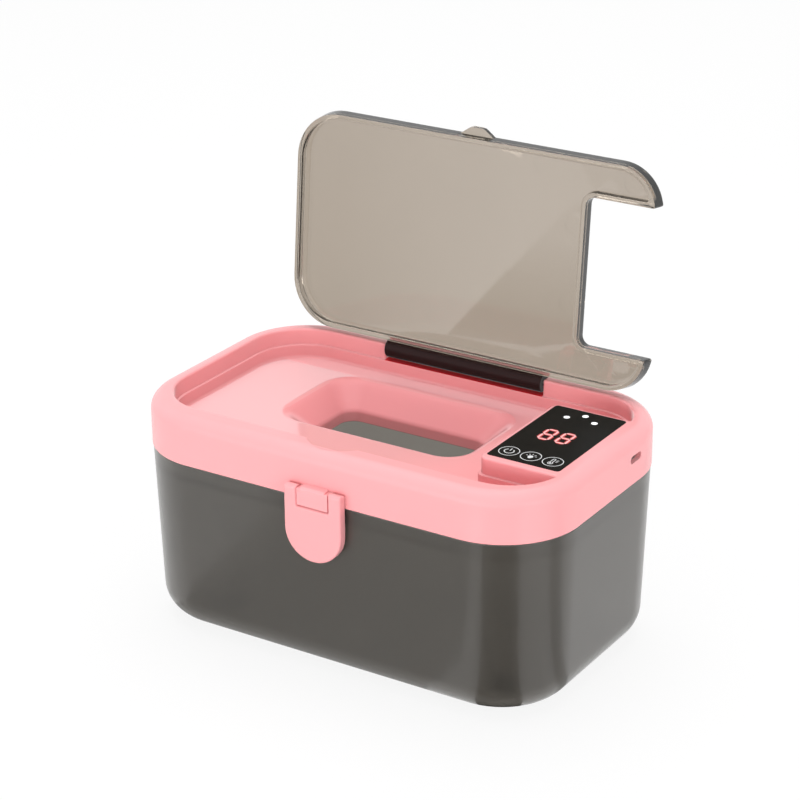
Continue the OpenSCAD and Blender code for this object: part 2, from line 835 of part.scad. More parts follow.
// Front view of the latch, in X and Z
module latch_2d(inset) {
  w = latch_w - 2 * inset;
  translate([-w / 2, latch_low]) square([w, latch_z - latch_low]);
  translate([0, latch_low]) circle(w / 2);
}

// A plate of the latch's outline between two depths
module latch_plate(inset, y0, y1) {
  translate([0, y1, 0]) rotate([90, 0, 0]) linear_extrude(y1 - y0) latch_2d(inset);
}

module latch() {
  back = latch_y + latch_t / 2;
  edge = 0.9;
  lip_w = 16;
  color([0.98, 0.72, 0.72]) difference() {
    union() {
      hull() {
        latch_plate(0, latch_front + edge, back);
        latch_plate(edge, latch_front, back);
      }
      translate([0, latch_y, latch_z]) rotate([0, 90, 0])
        cylinder(r = latch_t / 2, h = latch_w, center = true);
    }
    // Hollow back with a lip that snaps over the catch ridge
    difference() {
      latch_plate(2, latch_front + 2, back + 1);
      translate([-latch_w / 2, latch_front, latch_z - 7.5]) cube([latch_w, latch_t + 2, 20]);
      translate([-lip_w / 2, latch_front, latch_low - 5]) cube([lip_w, latch_t - 0.4, 2]);
    }
    // Gap between the ears
    translate([-block_w / 2 - gap, latch_front - 1, latch_z - 6.7])
      cube([block_w + 2 * gap, latch_t + 2, 20]);
    translate([0, latch_y, latch_z]) rotate([0, 90, 0])
      cylinder(r = latch_pin_r + run, h = latch_w + 1, center = true);
  }
}

lower_box();
rubber_feet();
rear_hinge_pins();
upper_housing();
inner_cover();
seal_gasket();
cover_screws();
heater_plate();
heating_film();
insulation_pad();
ntc_sensor();
thermal_fuse();
heater_leads();
control_board();
board_screws();
display_module();
indicator_leds();
touch_springs();
control_panel();
usb_shell();
usb_tongue();
latch_pin();
lid_hinge_pins();
lid();
lid_hinge_barrel();
latch();
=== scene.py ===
"""The looks of a baby wipe warmer: smoked box, pink housing, smoked lid, latch and panel."""

import math
import bmesh
import bpy
from mathutils import Matrix, Vector
from mathutils.geometry import delaunay_2d_cdt


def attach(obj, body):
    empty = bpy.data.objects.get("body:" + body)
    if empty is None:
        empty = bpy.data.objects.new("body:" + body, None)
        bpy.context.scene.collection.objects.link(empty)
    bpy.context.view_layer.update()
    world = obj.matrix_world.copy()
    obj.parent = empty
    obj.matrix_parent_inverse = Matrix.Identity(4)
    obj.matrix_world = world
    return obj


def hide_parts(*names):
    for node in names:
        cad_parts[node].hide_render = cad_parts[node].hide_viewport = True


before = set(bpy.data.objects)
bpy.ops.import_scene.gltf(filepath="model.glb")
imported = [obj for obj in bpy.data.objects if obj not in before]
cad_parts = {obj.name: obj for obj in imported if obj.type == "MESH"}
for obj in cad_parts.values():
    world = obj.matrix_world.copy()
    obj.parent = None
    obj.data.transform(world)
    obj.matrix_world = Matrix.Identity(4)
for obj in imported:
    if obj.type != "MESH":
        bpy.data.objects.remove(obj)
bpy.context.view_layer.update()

MM = 0.001
# Points in each round corner of the body, and of the tray and the latch
BODY_STEPS = 26
TRAY_STEPS = 14

# ---- Sizes in millimetres, as in the CAD ----

BODY_W = 200.0
BODY_D = 123.0
RIM_Z = 100.8
CORNER_R = 34.4
BAND_Z = 79.5
WALL = 2.4
BOX_TOP = 79.2
BOX_INSET = 0.4
BOX_TAPER = 2.2
BASE_FILLET = 13.6
FOOT_H = 1.0
FOOT_R = 6.0
FOOT_INSET = 32.0
TONGUE_H = 2.8
TONGUE_T = 1.6
TONGUE_EDGE = 0.4
RIM_FILLET = 6.0
BAND_FILLET = 0.5

TRAY_X = 92.0
TRAY_Y0 = -49.8
TRAY_Y1 = 51.3
TRAY_R = 25.0
FLOOR_Z = 87.5
STEP_Z = 93.4
STEP_IN = 1.0
TRAY_EDGE = 1.0
TRAY_FILLET = 1.3
NOTCH_IN = 5.5
NOTCH_R = 15.8
POCKET_X = 39.5
POCKET_Y = 58.3

WELL = (-8.7, 13.1)
WELL_SIZE = (91.6, 52.2, 13.0)
SLOT_SIZE = (70.6, 30.0, 6.5)
SLOT_Z = 77.5
SLOT_LIP = 1.3
WELL_LIP = 2.2
COLLAR_Z = 72.2
COLLAR_EDGE = 0.4
SKIN = 2.2

PODIUM_X0 = 56.0
PODIUM_Y0 = -30.5
PODIUM_Y1 = 32.0
PODIUM_R = 4.0
PANEL_X = (57.6, 90.4)
PANEL_Y = (-26.9, 30.8)
PANEL_T = 1.6
PANEL_R = 1.5
PANEL_EDGE = 0.18
SEAT_GAP = 0.1
SEAT_EDGE = 0.12
SEAT_SKIN = 1.8

LID_X = 87.6
LID_Y0 = -46.9
LID_Y1 = 49.0
LID_R = 21.0
LID_TOP = 100.1
LID_LOW = 94.2
LID_PLATE = 2.0
LID_SKIRT = 2.2
LID_DRAFT = 0.9
LID_EDGE = 0.35
LID_OPEN = 95.25
LID_AXIS = (53.4, 98.6)
CUT_X = 55.1
CUT_Y = (-31.4, 32.9)
CUT_R = 4.0
TAB_W = 14.0
TAB_TIP = 3.2
TAB_OUT = 3.4
# Round ejector marks on the lid's inner face
LID_MARKS = ((31.4, -40.6), (73.8, -38.8), (47.9, -17.3), (47.3, 16.5), (29.6, 38.0), (74.4, 39.3))
MARK_R = 3.5
MARK_DEPTH = 0.06
BARREL_R = 4.2
BARREL_EDGE = 0.5
BARREL_BORE_R = 1.55
BARREL_W = 78.0

LATCH_W = 27.0
LATCH_Y = -63.75
LATCH_T = 3.9
LATCH_PIN_Z = 84.2
LATCH_LOW = 67.5
LATCH_EDGE = 0.95
LATCH_RIM = 2.0
LATCH_HOLLOW = 1.9
BLOCK_W = 14.8
BLOCK_DROP = 6.4
RECESS_W = 1.6
RIDGE_W = 16.0
LIP_TALL = 2.0

REAR_X = 52.0
REAR_Y = 63.1
REAR_Z = 79.35
KNUCKLE_R = 2.6
KNUCKLE_W = 7.0
KNUCKLE_EDGE = 0.35
KNUCKLE_ROOM = 0.35
GUSSET_TALL = 9.0
GAP = 0.3

# The socket's opening: Y, Z, width and height
USB = (20.6, 90.8, 8.94, 3.26)
USB_CUT = 0.1

# The screws that hold the cover: X and Y of the corner ones, Y of the middle ones
SCREW_X = 80.0
SCREW_Y = 40.0
SCREW_MID_Y = 46.0
SCREW_Z = COLLAR_Z + 0.2

# ---- Outlines and rings ----


def outline(corners, grow=0.0, steps=10):
    """A closed outline with round corners, anticlockwise. Every grow has the same points."""
    count = len(corners)
    points = []
    for i, (x, y, radius) in enumerate(corners):
        here = Vector((x, y))
        before = Vector(corners[i - 1][:2])
        after = Vector(corners[(i + 1) % count][:2])
        way_in = (here - before).normalized()
        way_out = (after - here).normalized()
        turn = math.atan2(way_in.cross(way_out), way_in.dot(way_out))
        side_in = Vector((way_in.y, -way_in.x))
        side_out = Vector((way_out.y, -way_out.x))
        here = here + (side_in + side_out) / (1 + side_in.dot(side_out)) * grow
        bulge = math.copysign(1, turn)
        r = max(radius + bulge * grow, 0.04)
        start = here - way_in * r * math.tan(abs(turn) / 2)
        centre = start - side_in * r * bulge
        for k in range(steps + 1):
            spin = Matrix.Rotation(turn * k / steps, 2)
            arm = start - centre
            arm.rotate(spin)
            points.append(centre + arm)
    return points


def rectangle(x0, x1, y0, y1, r):
    return [(x0, y0, r), (x1, y0, r), (x1, y1, r), (x0, y1, r)]


def circle(centre, radius, count):
    x, y = centre
    turns = [2 * math.pi * k / count for k in range(count)]
    return [(x + radius * math.cos(a), y + radius * math.sin(a)) for a in turns]


def arc_profile(centre, radius, start, end, steps):
    """Points of an arc, in degrees."""
    out = []
    for k in range(steps + 1):
        a = math.radians(start + (end - start) * k / steps)
        out.append((centre[0] + radius * math.cos(a), centre[1] + radius * math.sin(a)))
    return out


def soft_corner(p0, p1, p2, steps=5):
    """A smooth curve from p0 to p2 that bends towards p1."""
    out = []
    for k in range(steps + 1):
        t = k / steps
        weights = ((1 - t) ** 2, 2 * t * (1 - t), t * t)
        out.append(tuple(sum(w * v for w, v in zip(weights, values)) for values in zip(p0, p1, p2)))
    return out


def add_ring(bm, points, z):
    return [bm.verts.new((p[0], p[1], z)) for p in points]


def bridge(bm, low, high):
    count = len(low)
    for i in range(count):
        j = (i + 1) % count
        bm.faces.new((low[i], low[j], high[j], high[i]))


def loft(bm, rings):
    for low, high in zip(rings, rings[1:]):
        bridge(bm, low, high)


def inside(point, loop):
    """Whether a point lies inside a closed loop."""
    x, y = point
    found = False
    for a, b in zip(loop, loop[1:] + loop[:1]):
        if (a.y > y) != (b.y > y) and x < a.x + (y - a.y) / (b.y - a.y) * (b.x - a.x):
            found = not found
    return found


def fill(bm, outer, holes=()):
    """Flat triangles between one outer ring and any holes, in the rings' own plane.

    A hole may cross the outer ring: the crossings become new corners.
    """
    rings_2d = [[v.co.xy for v in ring] for ring in [outer] + list(holes)]
    verts = [v for ring in [outer] + list(holes) for v in ring]
    edges, base = [], 0
    for ring in rings_2d:
        size = len(ring)
        edges += [(base + i, base + (i + 1) % size) for i in range(size)]
        base += size
    flat = [p for ring in rings_2d for p in ring]
    spots, _, faces, origin = delaunay_2d_cdt(flat, edges, [], 0, 1e-6)[:4]
    made = {}

    def crossing(i):
        if i not in made:
            made[i] = bm.verts.new((*spots[i], verts[0].co.z))
        return made[i]

    for face in faces:
        middle = sum((spots[i] for i in face), Vector((0, 0))) / 3
        if inside(middle, rings_2d[0]) and not any(inside(middle, hole) for hole in rings_2d[1:]):
            corners = [verts[origin[i][0]] if origin[i] else crossing(i) for i in face]
            if len(set(corners)) == 3:
                bm.faces.new(corners)


def piece(name, bm, place=None, sharp=38, merge=0.002):
    """Turns a mesh drawn in millimetres into a smooth piece in metres."""
    bmesh.ops.remove_doubles(bm, verts=bm.verts, dist=merge)
    bmesh.ops.recalc_face_normals(bm, faces=bm.faces)
    if place is not None:
        bmesh.ops.transform(bm, matrix=place, verts=bm.verts)
    bmesh.ops.scale(bm, vec=(MM, MM, MM), verts=bm.verts)
    mesh = bpy.data.meshes.new(name)
    bm.to_mesh(mesh)
    bm.free()
    obj = bpy.data.objects.new(name, mesh)
    bpy.context.scene.collection.objects.link(obj)
    shade(obj, sharp)
    return obj


def shade(obj, sharp=38):
    mesh = obj.data
    mesh.polygons.foreach_set("use_smooth", [True] * len(mesh.polygons))
    mesh.set_sharp_from_angle(angle=math.radians(sharp))
    even = obj.modifiers.new("even shading", "WEIGHTED_NORMAL")
    even.keep_sharp = True
    even.mode = "FACE_AREA"


def lofted(bm, corners, stops, steps):
    """Rings of one outline, each grown and raised by its stop, joined by walls."""
    rings = [add_ring(bm, outline(corners, g, steps), z) for g, z in stops]
    loft(bm, rings)
    return rings


def close_ends(bm, rings):
    bm.faces.new(rings[0])
    bm.faces.new(rings[-1])


def prism(bm, corners, z0, z1, edge=0.3, steps=8, bevel_steps=3):
    """A solid of an outline with rounded top and bottom edges."""
    stops = arc_profile((-edge, z0 + edge), edge, -90, 0, bevel_steps)
    stops += arc_profile((-edge, z1 - edge), edge, 0, 90, bevel_steps)
    close_ends(bm, lofted(bm, corners, stops, steps))


def joined(bm, other, matrix=None):
    """Adds another drawing to this one."""
    if matrix is not None:
        bmesh.ops.transform(other, matrix=matrix, verts=other.verts)
    spare = bpy.data.meshes.new("spare")
    other.to_mesh(spare)
    bm.from_mesh(spare)
    other.free()
    bpy.data.meshes.remove(spare)


def along_x(x):
    """Lays a drawing's (x, y) in the body's (Y, Z), with its z along X from the given x."""
    return Matrix(((0, 0, 1, x), (1, 0, 0, 0), (0, 1, 0, 0), (0, 0, 0, 1)))


def facing_front(y):
    """Stands a drawing's (x, y) in the body's (X, Z), with its z towards the front."""
    return Matrix(((1, 0, 0, 0), (0, 0, -1, y), (0, 1, 0, 0), (0, 0, 0, 1)))


def cut(obj, cutters):
    """Takes closed drawings out of a piece, before it is shaded."""
    bm = bmesh.new()
    for drawing, matrix in cutters:
        joined(bm, drawing, matrix)
    bmesh.ops.recalc_face_normals(bm, faces=bm.faces)
    bmesh.ops.scale(bm, vec=(MM, MM, MM), verts=bm.verts)
    mesh = bpy.data.meshes.new("cutter")
    bm.to_mesh(mesh)
    bm.free()
    tool = bpy.data.objects.new("cutter", mesh)
    bpy.context.scene.collection.objects.link(tool)
    obj.modifiers.clear()
    mod = obj.modifiers.new("cut", "BOOLEAN")
    mod.operation = "DIFFERENCE"
    mod.solver = "EXACT"
    mod.object = tool
    graph = bpy.context.evaluated_depsgraph_get()
    result = bpy.data.meshes.new_from_object(obj.evaluated_get(graph))
    obj.modifiers.clear()
    obj.data = result
    bpy.data.objects.remove(tool)
    shade(obj)


def add_parts(obj, extra):
    """Adds a drawing in millimetres to a finished piece, and shades the piece again."""
    bmesh.ops.recalc_face_normals(extra, faces=extra.faces)
    bmesh.ops.scale(extra, vec=(MM, MM, MM), verts=extra.verts)
    whole = bmesh.new()
    whole.from_mesh(obj.data)
    joined(whole, extra)
    whole.to_mesh(obj.data)
    whole.free()
    obj.modifiers.clear()
    shade(obj)


def opened():
    """Turns a lid drawn closed to its open rest place."""
    y, z = LID_AXIS
    axis = Matrix.Translation((0, y, z))
    return axis @ Matrix.Rotation(math.radians(-LID_OPEN), 4, "X") @ axis.inverted()


# ---- Housing ----


def trench_corner(wall_y, r, podium_y):
    """Where the tray's round corner runs into the podium: the arc's corner and its end."""
    side = math.copysign(1, wall_y)
    centre_x = TRAY_X - TRAY_R
    centre_y = wall_y - side * r
    rise = podium_y - centre_y
    reach = math.sqrt(r * r - rise * rise)
    end = (centre_x + reach, podium_y)
    slope = side * rise / reach
    corner_x = end[0] - abs(wall_y - podium_y) * abs(slope)
    return (corner_x, wall_y), end


def tray_corners(inset, detailed):
    """The tray's outline round the podium. The detailed one has the notch and the hinge pocket."""
    y0 = TRAY_Y0 + inset
    y1 = TRAY_Y1 - inset
    x0 = -TRAY_X + inset
    r = TRAY_R - inset
    pod_x = PODIUM_X0 - inset
    pod_y0 = PODIUM_Y0 - inset
    pod_y1 = PODIUM_Y1 + inset
    front_v, front_end = trench_corner(y0, r, pod_y0)
    back_v, back_end = trench_corner(y1, r, pod_y1)
    corners = [(x0, y0, r)]
    if detailed:
        centre_y = TRAY_Y0 - NOTCH_IN + NOTCH_R
        half = math.sqrt(NOTCH_R ** 2 - (centre_y - TRAY_Y0) ** 2)
        apex = centre_y - NOTCH_R ** 2 / (centre_y - TRAY_Y0)
        corners += [(-half, y0, 1.6), (0, apex, NOTCH_R - 1.0), (half, y0, 1.6)]
    corners += [
        (front_v[0], y0, r - 2.5), (front_end[0], pod_y0, 0.9),
        (pod_x, pod_y0, PODIUM_R), (pod_x, pod_y1, PODIUM_R),
        (back_end[0], pod_y1, 0.9), (back_v[0], y1, r - 2.5),
    ]
    if detailed:
        corners += [
            (POCKET_X, y1, 0.9), (POCKET_X, POCKET_Y, 0.9),
            (-POCKET_X, POCKET_Y, 0.9), (-POCKET_X, y1, 0.9),
        ]
    corners.append((x0, y1, r))
    return corners


def well_ring(t, grow, steps=14):
    """A ring on the well's slope: t is 0 at the tray floor and 1 at the slot."""
    w, d, r = (a + (b - a) * t for a, b in zip(WELL_SIZE, SLOT_SIZE))
    cx, cy = WELL
    box = rectangle(cx - w / 2, cx + w / 2, cy - d / 2, cy + d / 2, r)
    return outline(box, grow, steps)


def body_corners():
    return rectangle(-BODY_W / 2, BODY_W / 2, -BODY_D / 2, BODY_D / 2, CORNER_R)


def rear_knuckle(x, towards):
    """A hinge knuckle with its gusset, which runs up the housing or down the box."""
    bm = bmesh.new()
    wall_y = BODY_D / 2 - 1.2
    e = KNUCKLE_EDGE
    stops = ((-e, 0.0), (0.0, e), (0.0, KNUCKLE_W - e), (-e, KNUCKLE_W))
    rings = [add_ring(bm, circle((REAR_Y, REAR_Z), KNUCKLE_R + g, 28), z) for g, z in stops]
    loft(bm, rings)
    close_ends(bm, rings)
    web = bmesh.new()
    edge = REAR_Y + KNUCKLE_R - 0.4
    web_corners = [
        (wall_y, REAR_Z + towards * 0.3, 0.1), (edge, REAR_Z + towards * 0.3, 0.1),
        (edge, REAR_Z + towards * 1.2, 0.5), (wall_y, REAR_Z + towards * GUSSET_TALL, 0.4),
    ]
    if towards < 0:
        web_corners.reverse()
    prism(web, web_corners, 0, KNUCKLE_W, 0.3, 4)
    joined(bm, web)
    bmesh.ops.transform(bm, matrix=along_x(x - KNUCKLE_W / 2), verts=bm.verts)
    return bm


def knuckle_room(x, width):
    """The round space that the other half's knuckle turns in."""
    bm = bmesh.new()
    ring = circle((REAR_Y, REAR_Z), KNUCKLE_R + KNUCKLE_ROOM, 32)
    rings = [add_ring(bm, ring, z) for z in (0, width)]
    loft(bm, rings)
    close_ends(bm, rings)
    return bm, along_x(x - width / 2)


def stadium(w, h, cx, cy):
    return rectangle(cx - w / 2, cx + w / 2, cy - h / 2, cy + h / 2, h / 2 - 0.01)


def make_housing():
    bm = bmesh.new()
    body = body_corners()
    # Outside of the band, from its lower edge up over the rounded rim
    stops = arc_profile((-BAND_FILLET, BAND_Z + BAND_FILLET), BAND_FILLET, -90, 0, 4)
    stops += arc_profile((-RIM_FILLET, RIM_Z - RIM_FILLET), RIM_FILLET, 0, 90, 14)
    outside = lofted(bm, body, stops, BODY_STEPS)
    # Rim edge, wall and step of the tray
    stops = [(TRAY_EDGE - x, z) for x, z in arc_profile((0, RIM_Z - TRAY_EDGE), TRAY_EDGE, 90, 0, 5)]
    stops += [(0.0, STEP_Z + 0.3), (-0.1, STEP_Z + 0.1), (-0.3, STEP_Z)]
    tray_upper = lofted(bm, tray_corners(0, True), stops, TRAY_STEPS)
    # Panel seat in the podium's top
    seat = rectangle(PANEL_X[0] - SEAT_GAP, PANEL_X[1] + SEAT_GAP,
                     PANEL_Y[0] - SEAT_GAP, PANEL_Y[1] + SEAT_GAP, PANEL_R + SEAT_GAP)
    stops = [(SEAT_EDGE, RIM_Z), (0, RIM_Z - SEAT_EDGE), (0, RIM_Z - PANEL_T)]
    seat_rings = lofted(bm, seat, stops, 6)
    bm.faces.new(seat_rings[-1])
    fill(bm, outside[-1], [tray_upper[0], seat_rings[0]])
    # Lower wall of the tray, and its floor
    r = TRAY_FILLET
    stops = [(0.4, STEP_Z), (0.12, STEP_Z - 0.12), (0.0, STEP_Z - 0.4)]
    stops += [(r * math.cos(a) - r, FLOOR_Z + r - r * math.sin(a))
              for a in [math.radians(90 * k / 5) for k in range(6)]]
    tray_lower = lofted(bm, tray_corners(STEP_IN, False), stops, TRAY_STEPS)
    fill(bm, tray_upper[-1], [tray_lower[0]])
    # Well: rounded lip, slope, rounded slot edge, collar. A stop is share of the slope, growth, Z
    drop = FLOOR_Z - SLOT_Z
    under_z = FLOOR_Z - SKIN
    e = COLLAR_EDGE
    lip_end = (0.22, 0.0, FLOOR_Z - 0.22 * drop)
    lip = soft_corner((0.0, WELL_LIP, FLOOR_Z), (0.0, 0.0, FLOOR_Z), lip_end, 8)
    nose_start = (0.9, 0.0, FLOOR_Z - 0.9 * drop)
    nose = soft_corner(nose_start, (1.0, 0.0, SLOT_Z), (1.0, 0.0, SLOT_Z - SLOT_LIP), 7)
    collar = [(1, 0, COLLAR_Z + e), (1, e, COLLAR_Z), (1, SKIN - e, COLLAR_Z), (1, SKIN, COLLAR_Z + e)]
    collar += [(1, SKIN, SLOT_Z - 1.0), (0.05, SKIN + 0.8, under_z)]
    well = [add_ring(bm, well_ring(t, g), z) for t, g, z in lip + nose + collar]
    loft(bm, well)
    fill(bm, tray_lower[-1], [well[0]])
    # Underside: the board's room in the podium, and the inside of the band
    room = rectangle(PODIUM_X0 + SKIN, BODY_W / 2 - WALL, PODIUM_Y0 + SKIN, PODIUM_Y1 - SKIN, 2.0)
    room_rings = lofted(bm, room, [(0, under_z), (0, RIM_Z - PANEL_T - SEAT_SKIN)], 6)
    bm.faces.new(room_rings[-1])
    stops = [(-WALL - 0.01, under_z), (-WALL - 0.01, BAND_Z + 0.3), (-WALL + 0.3, BAND_Z)]
    inner = lofted(bm, body, stops, BODY_STEPS)
    bridge(bm, inner[-1], outside[0])
    fill(bm, inner[0], [well[-1], room_rings[0]])
    housing = piece("upper_housing_moulding", bm)
    # The socket's opening, and room for the box's knuckles
    opening = bmesh.new()
    y, z, w, h = USB
    prism(opening, stadium(w + USB_CUT, h + USB_CUT, y, z), 0, 6, 0.0001, 10)
    cutters = [(opening, along_x(BODY_W / 2 - 4))]
    for s in (-1, 1):
        for t in (-1, 1):
            cutters.append(knuckle_room(s * REAR_X + t * (KNUCKLE_W + GAP), KNUCKLE_W + 2 * GAP))
    cut(housing, cutters)
    extra = bmesh.new()
    for s in (-1, 1):
        joined(extra, rear_knuckle(s * REAR_X, 1))
    joined(extra, latch_block())
    add_parts(housing, extra)
    return housing


def latch_block():
    """The block between the latch's ears, on the band's front, with its two corner recesses."""
    bm = bmesh.new()
    bottom = LATCH_PIN_Z - BLOCK_DROP
    front = LATCH_Y - LATCH_T / 2 + 0.2
    face = -BODY_D / 2 + 0.6
    recess_z = LATCH_PIN_Z + 1.2
    proud = 0.03
    full = [
        (face, bottom + proud, 0.1), (front - proud, bottom + 4 * proud, 0.6),
        (front - proud, LATCH_PIN_Z + 0.7, 0.5), (front + 0.9, LATCH_PIN_Z + 1.8, 0.6),
        (face, LATCH_PIN_Z + 2.2, 0.1),
    ]
    low = [
        (face - proud, bottom, 0.1), (front, bottom, 0.7), (front, LATCH_PIN_Z + 0.9, 0.3),
        (front + 0.4, recess_z, 0.2), (face - proud, recess_z, 0.1),
    ]
    for corners, width in ((full, BLOCK_W - 2 * RECESS_W), (low, BLOCK_W)):
        slab = bmesh.new()
        prism(slab, list(reversed(corners)), 0, width, 0.25, 5)
        bmesh.ops.transform(slab, matrix=along_x(-width / 2), verts=slab.verts)
        joined(bm, slab)
    return bm


# ---- Box ----


def make_box():
    """The smoked box, with its tongue, its knuckles and the latch's catch ridge."""
    bm = bmesh.new()
    half_w = BODY_W / 2 - BOX_INSET
    half_d = BODY_D / 2 - BOX_INSET
    box = rectangle(-half_w, half_w, -half_d, half_d, CORNER_R - BOX_INSET)
    height = BOX_TOP - FOOT_H

    def wall_profile(inward, base_z):
        """The lean of the wall and the round base, moved in by the wall's thickness."""
        fillet = BASE_FILLET - inward
        lean = math.degrees(math.atan(BOX_TAPER / height))
        centre = (-inward - BOX_TAPER - fillet, base_z + fillet)
        return arc_profile(centre, fillet, -90, -lean, 16)

    e = TONGUE_EDGE
    outer = wall_profile(0, FOOT_H) + [(-0.02, BOX_TOP - e), (-0.12, BOX_TOP - 0.12), (-e, BOX_TOP)]
    tongue_in = WALL + TONGUE_T
    tongue_z = BOX_TOP + TONGUE_H
    top = [
        (-WALL, BOX_TOP), (-WALL, tongue_z - e), (-WALL - e, tongue_z),
        (-tongue_in + e, tongue_z), (-tongue_in, tongue_z - e), (-tongue_in, BOX_TOP - 6),
        (-WALL, BOX_TOP - 8),
    ]
    inner = list(reversed(wall_profile(WALL, FOOT_H + WALL)))
    close_ends(bm, lofted(bm, box, outer + top + inner, BODY_STEPS))
    shell = piece("lower_box_shell", bm)
    cut(shell, [knuckle_room(s * REAR_X, KNUCKLE_W + 2 * GAP) for s in (-1, 1)])
    extra = bmesh.new()
    for s in (-1, 1):
        for t in (-1, 1):
            joined(extra, rear_knuckle(s * REAR_X + t * (KNUCKLE_W + GAP), -1))
    ridge = bmesh.new()
    ridge_y = -BODY_D / 2 - GAP
    half = RIDGE_W / 2
    prism(ridge, rectangle(-half, half, ridge_y, ridge_y + 2, 0.3),
          LATCH_LOW - LIP_TALL, LATCH_LOW, 0.25, 3)
    joined(extra, ridge)
    add_parts(shell, extra)
    return shell


# ---- Lid ----


def lid_outline(flare, inset, tab):
    """The lid's outline. The flare widens its outer sides, and the cut-out keeps its place."""
    x = LID_X + flare - inset
    y0 = LID_Y0 - flare + inset
    y1 = LID_Y1 + flare - inset
    r = LID_R + flare - inset
    cut_x = CUT_X - inset
    cut_y0 = CUT_Y[0] - inset
    cut_y1 = CUT_Y[1] + inset
    centre_x = x - r

    def prong(side_y, cut_y):
        side = math.copysign(1, side_y)
        centre_y = side_y - side * r
        rise = cut_y - centre_y
        reach = math.sqrt(r * r - rise * rise)
        slope = abs(rise) / reach
        return (centre_x + reach - abs(side_y - cut_y) * slope, side_y), (centre_x + reach, cut_y)

    front_v, front_end = prong(y0, cut_y0)
    back_v, back_end = prong(y1, cut_y1)
    tab_y = y0 - (TAB_OUT if inset == 0 else 0.01)
    corners = [
        (-x, y0, r), (-TAB_W / 2 - 1, y0, 1.4), (-TAB_TIP, tab_y, 4.5), (TAB_TIP, tab_y, 4.5),
        (TAB_W / 2 + 1, y0, 1.4), (front_v[0], y0, r - 3.0), (front_end[0], cut_y0, 1.0),
        (cut_x, cut_y0, CUT_R + inset), (cut_x, cut_y1, CUT_R + inset),
        (back_end[0], cut_y1, 1.0), (back_v[0], y1, r - 3.0), (-x, y1, r),
    ]
    points = outline(corners, 0, 12)
    if not tab:
        points = [Vector((p.x, max(p.y, y0))) for p in points]
    return points


def make_lid():
    """The smoked lid: plate, skirt with its draft, pull tab and ejector marks."""
    bm = bmesh.new()
    plate_z = LID_TOP - LID_PLATE

    def flare(z):
        return LID_DRAFT * (z - LID_LOW) / (LID_TOP - LID_LOW)

    e = LID_EDGE
    # Inset, Z, and whether the tab is there: up the skirt's inside, round its lower edge, up its outside
    stops = [
        (LID_SKIRT + 0.6, plate_z, False), (LID_SKIRT + 0.17, plate_z - 0.17, False),
        (LID_SKIRT, plate_z - 0.6, False), (LID_SKIRT, LID_LOW + e, False), (LID_SKIRT - e, LID_LOW, False),
        (e, LID_LOW, False), (0.3 * e, LID_LOW + 0.3 * e, False), (0, LID_LOW + e, False),
        (0, plate_z, False),
        (0, plate_z + 0.05, True), (0, LID_TOP - e, True),
    ]
    rings = [add_ring(bm, lid_outline(flare(z), inset, tab), z) for inset, z, tab in stops]
    top = lid_outline(flare(LID_TOP), 0, True)
    for share, z in ((0.3 * e, LID_TOP - 0.3 * e), (e, LID_TOP)):
        rings.append(add_ring(bm, inward(top, share), z))
    loft(bm, rings)
    marks = []
    for centre in LID_MARKS:
        ring = circle(centre, MARK_R, 36)
        marks.append(add_ring(bm, ring, plate_z))
        sunk = add_ring(bm, ring, plate_z + MARK_DEPTH)
        bridge(bm, marks[-1], sunk)
        bm.faces.new(sunk)
    fill(bm, rings[0], marks)
    fill(bm, rings[-1])
    return piece("lid_smoked_plate", bm, opened(), sharp=50)


def inward(points, distance):
    """Moves a closed outline in by a small distance, point by point."""
    count = len(points)
    out = []
    for i in range(count):
        way = (points[(i + 1) % count] - points[i - 1])
        if way.length < 1e-9:
            out.append(points[i])
            continue
        way.normalize()
        out.append(points[i] - Vector((way.y, -way.x)) * distance)
    return out


def make_barrel():
    bm = bmesh.new()
    e = BARREL_EDGE
    profile = [(BARREL_BORE_R, 0.0), (BARREL_R - e, 0.0)]
    profile += [(BARREL_R - e + e * math.sin(a), e - e * math.cos(a))
                for a in [math.radians(30 * k) for k in range(1, 4)]]
    profile += [(r, BARREL_W - z) for r, z in reversed(profile)]
    rings = [add_ring(bm, circle(LID_AXIS, r, 48), z) for r, z in profile]
    rings.append(rings[0])
    loft(bm, rings)
    bmesh.ops.transform(bm, matrix=along_x(-BARREL_W / 2), verts=bm.verts)
    return piece("lid_barrel_sleeve", bm, opened())


# ---- Latch ----


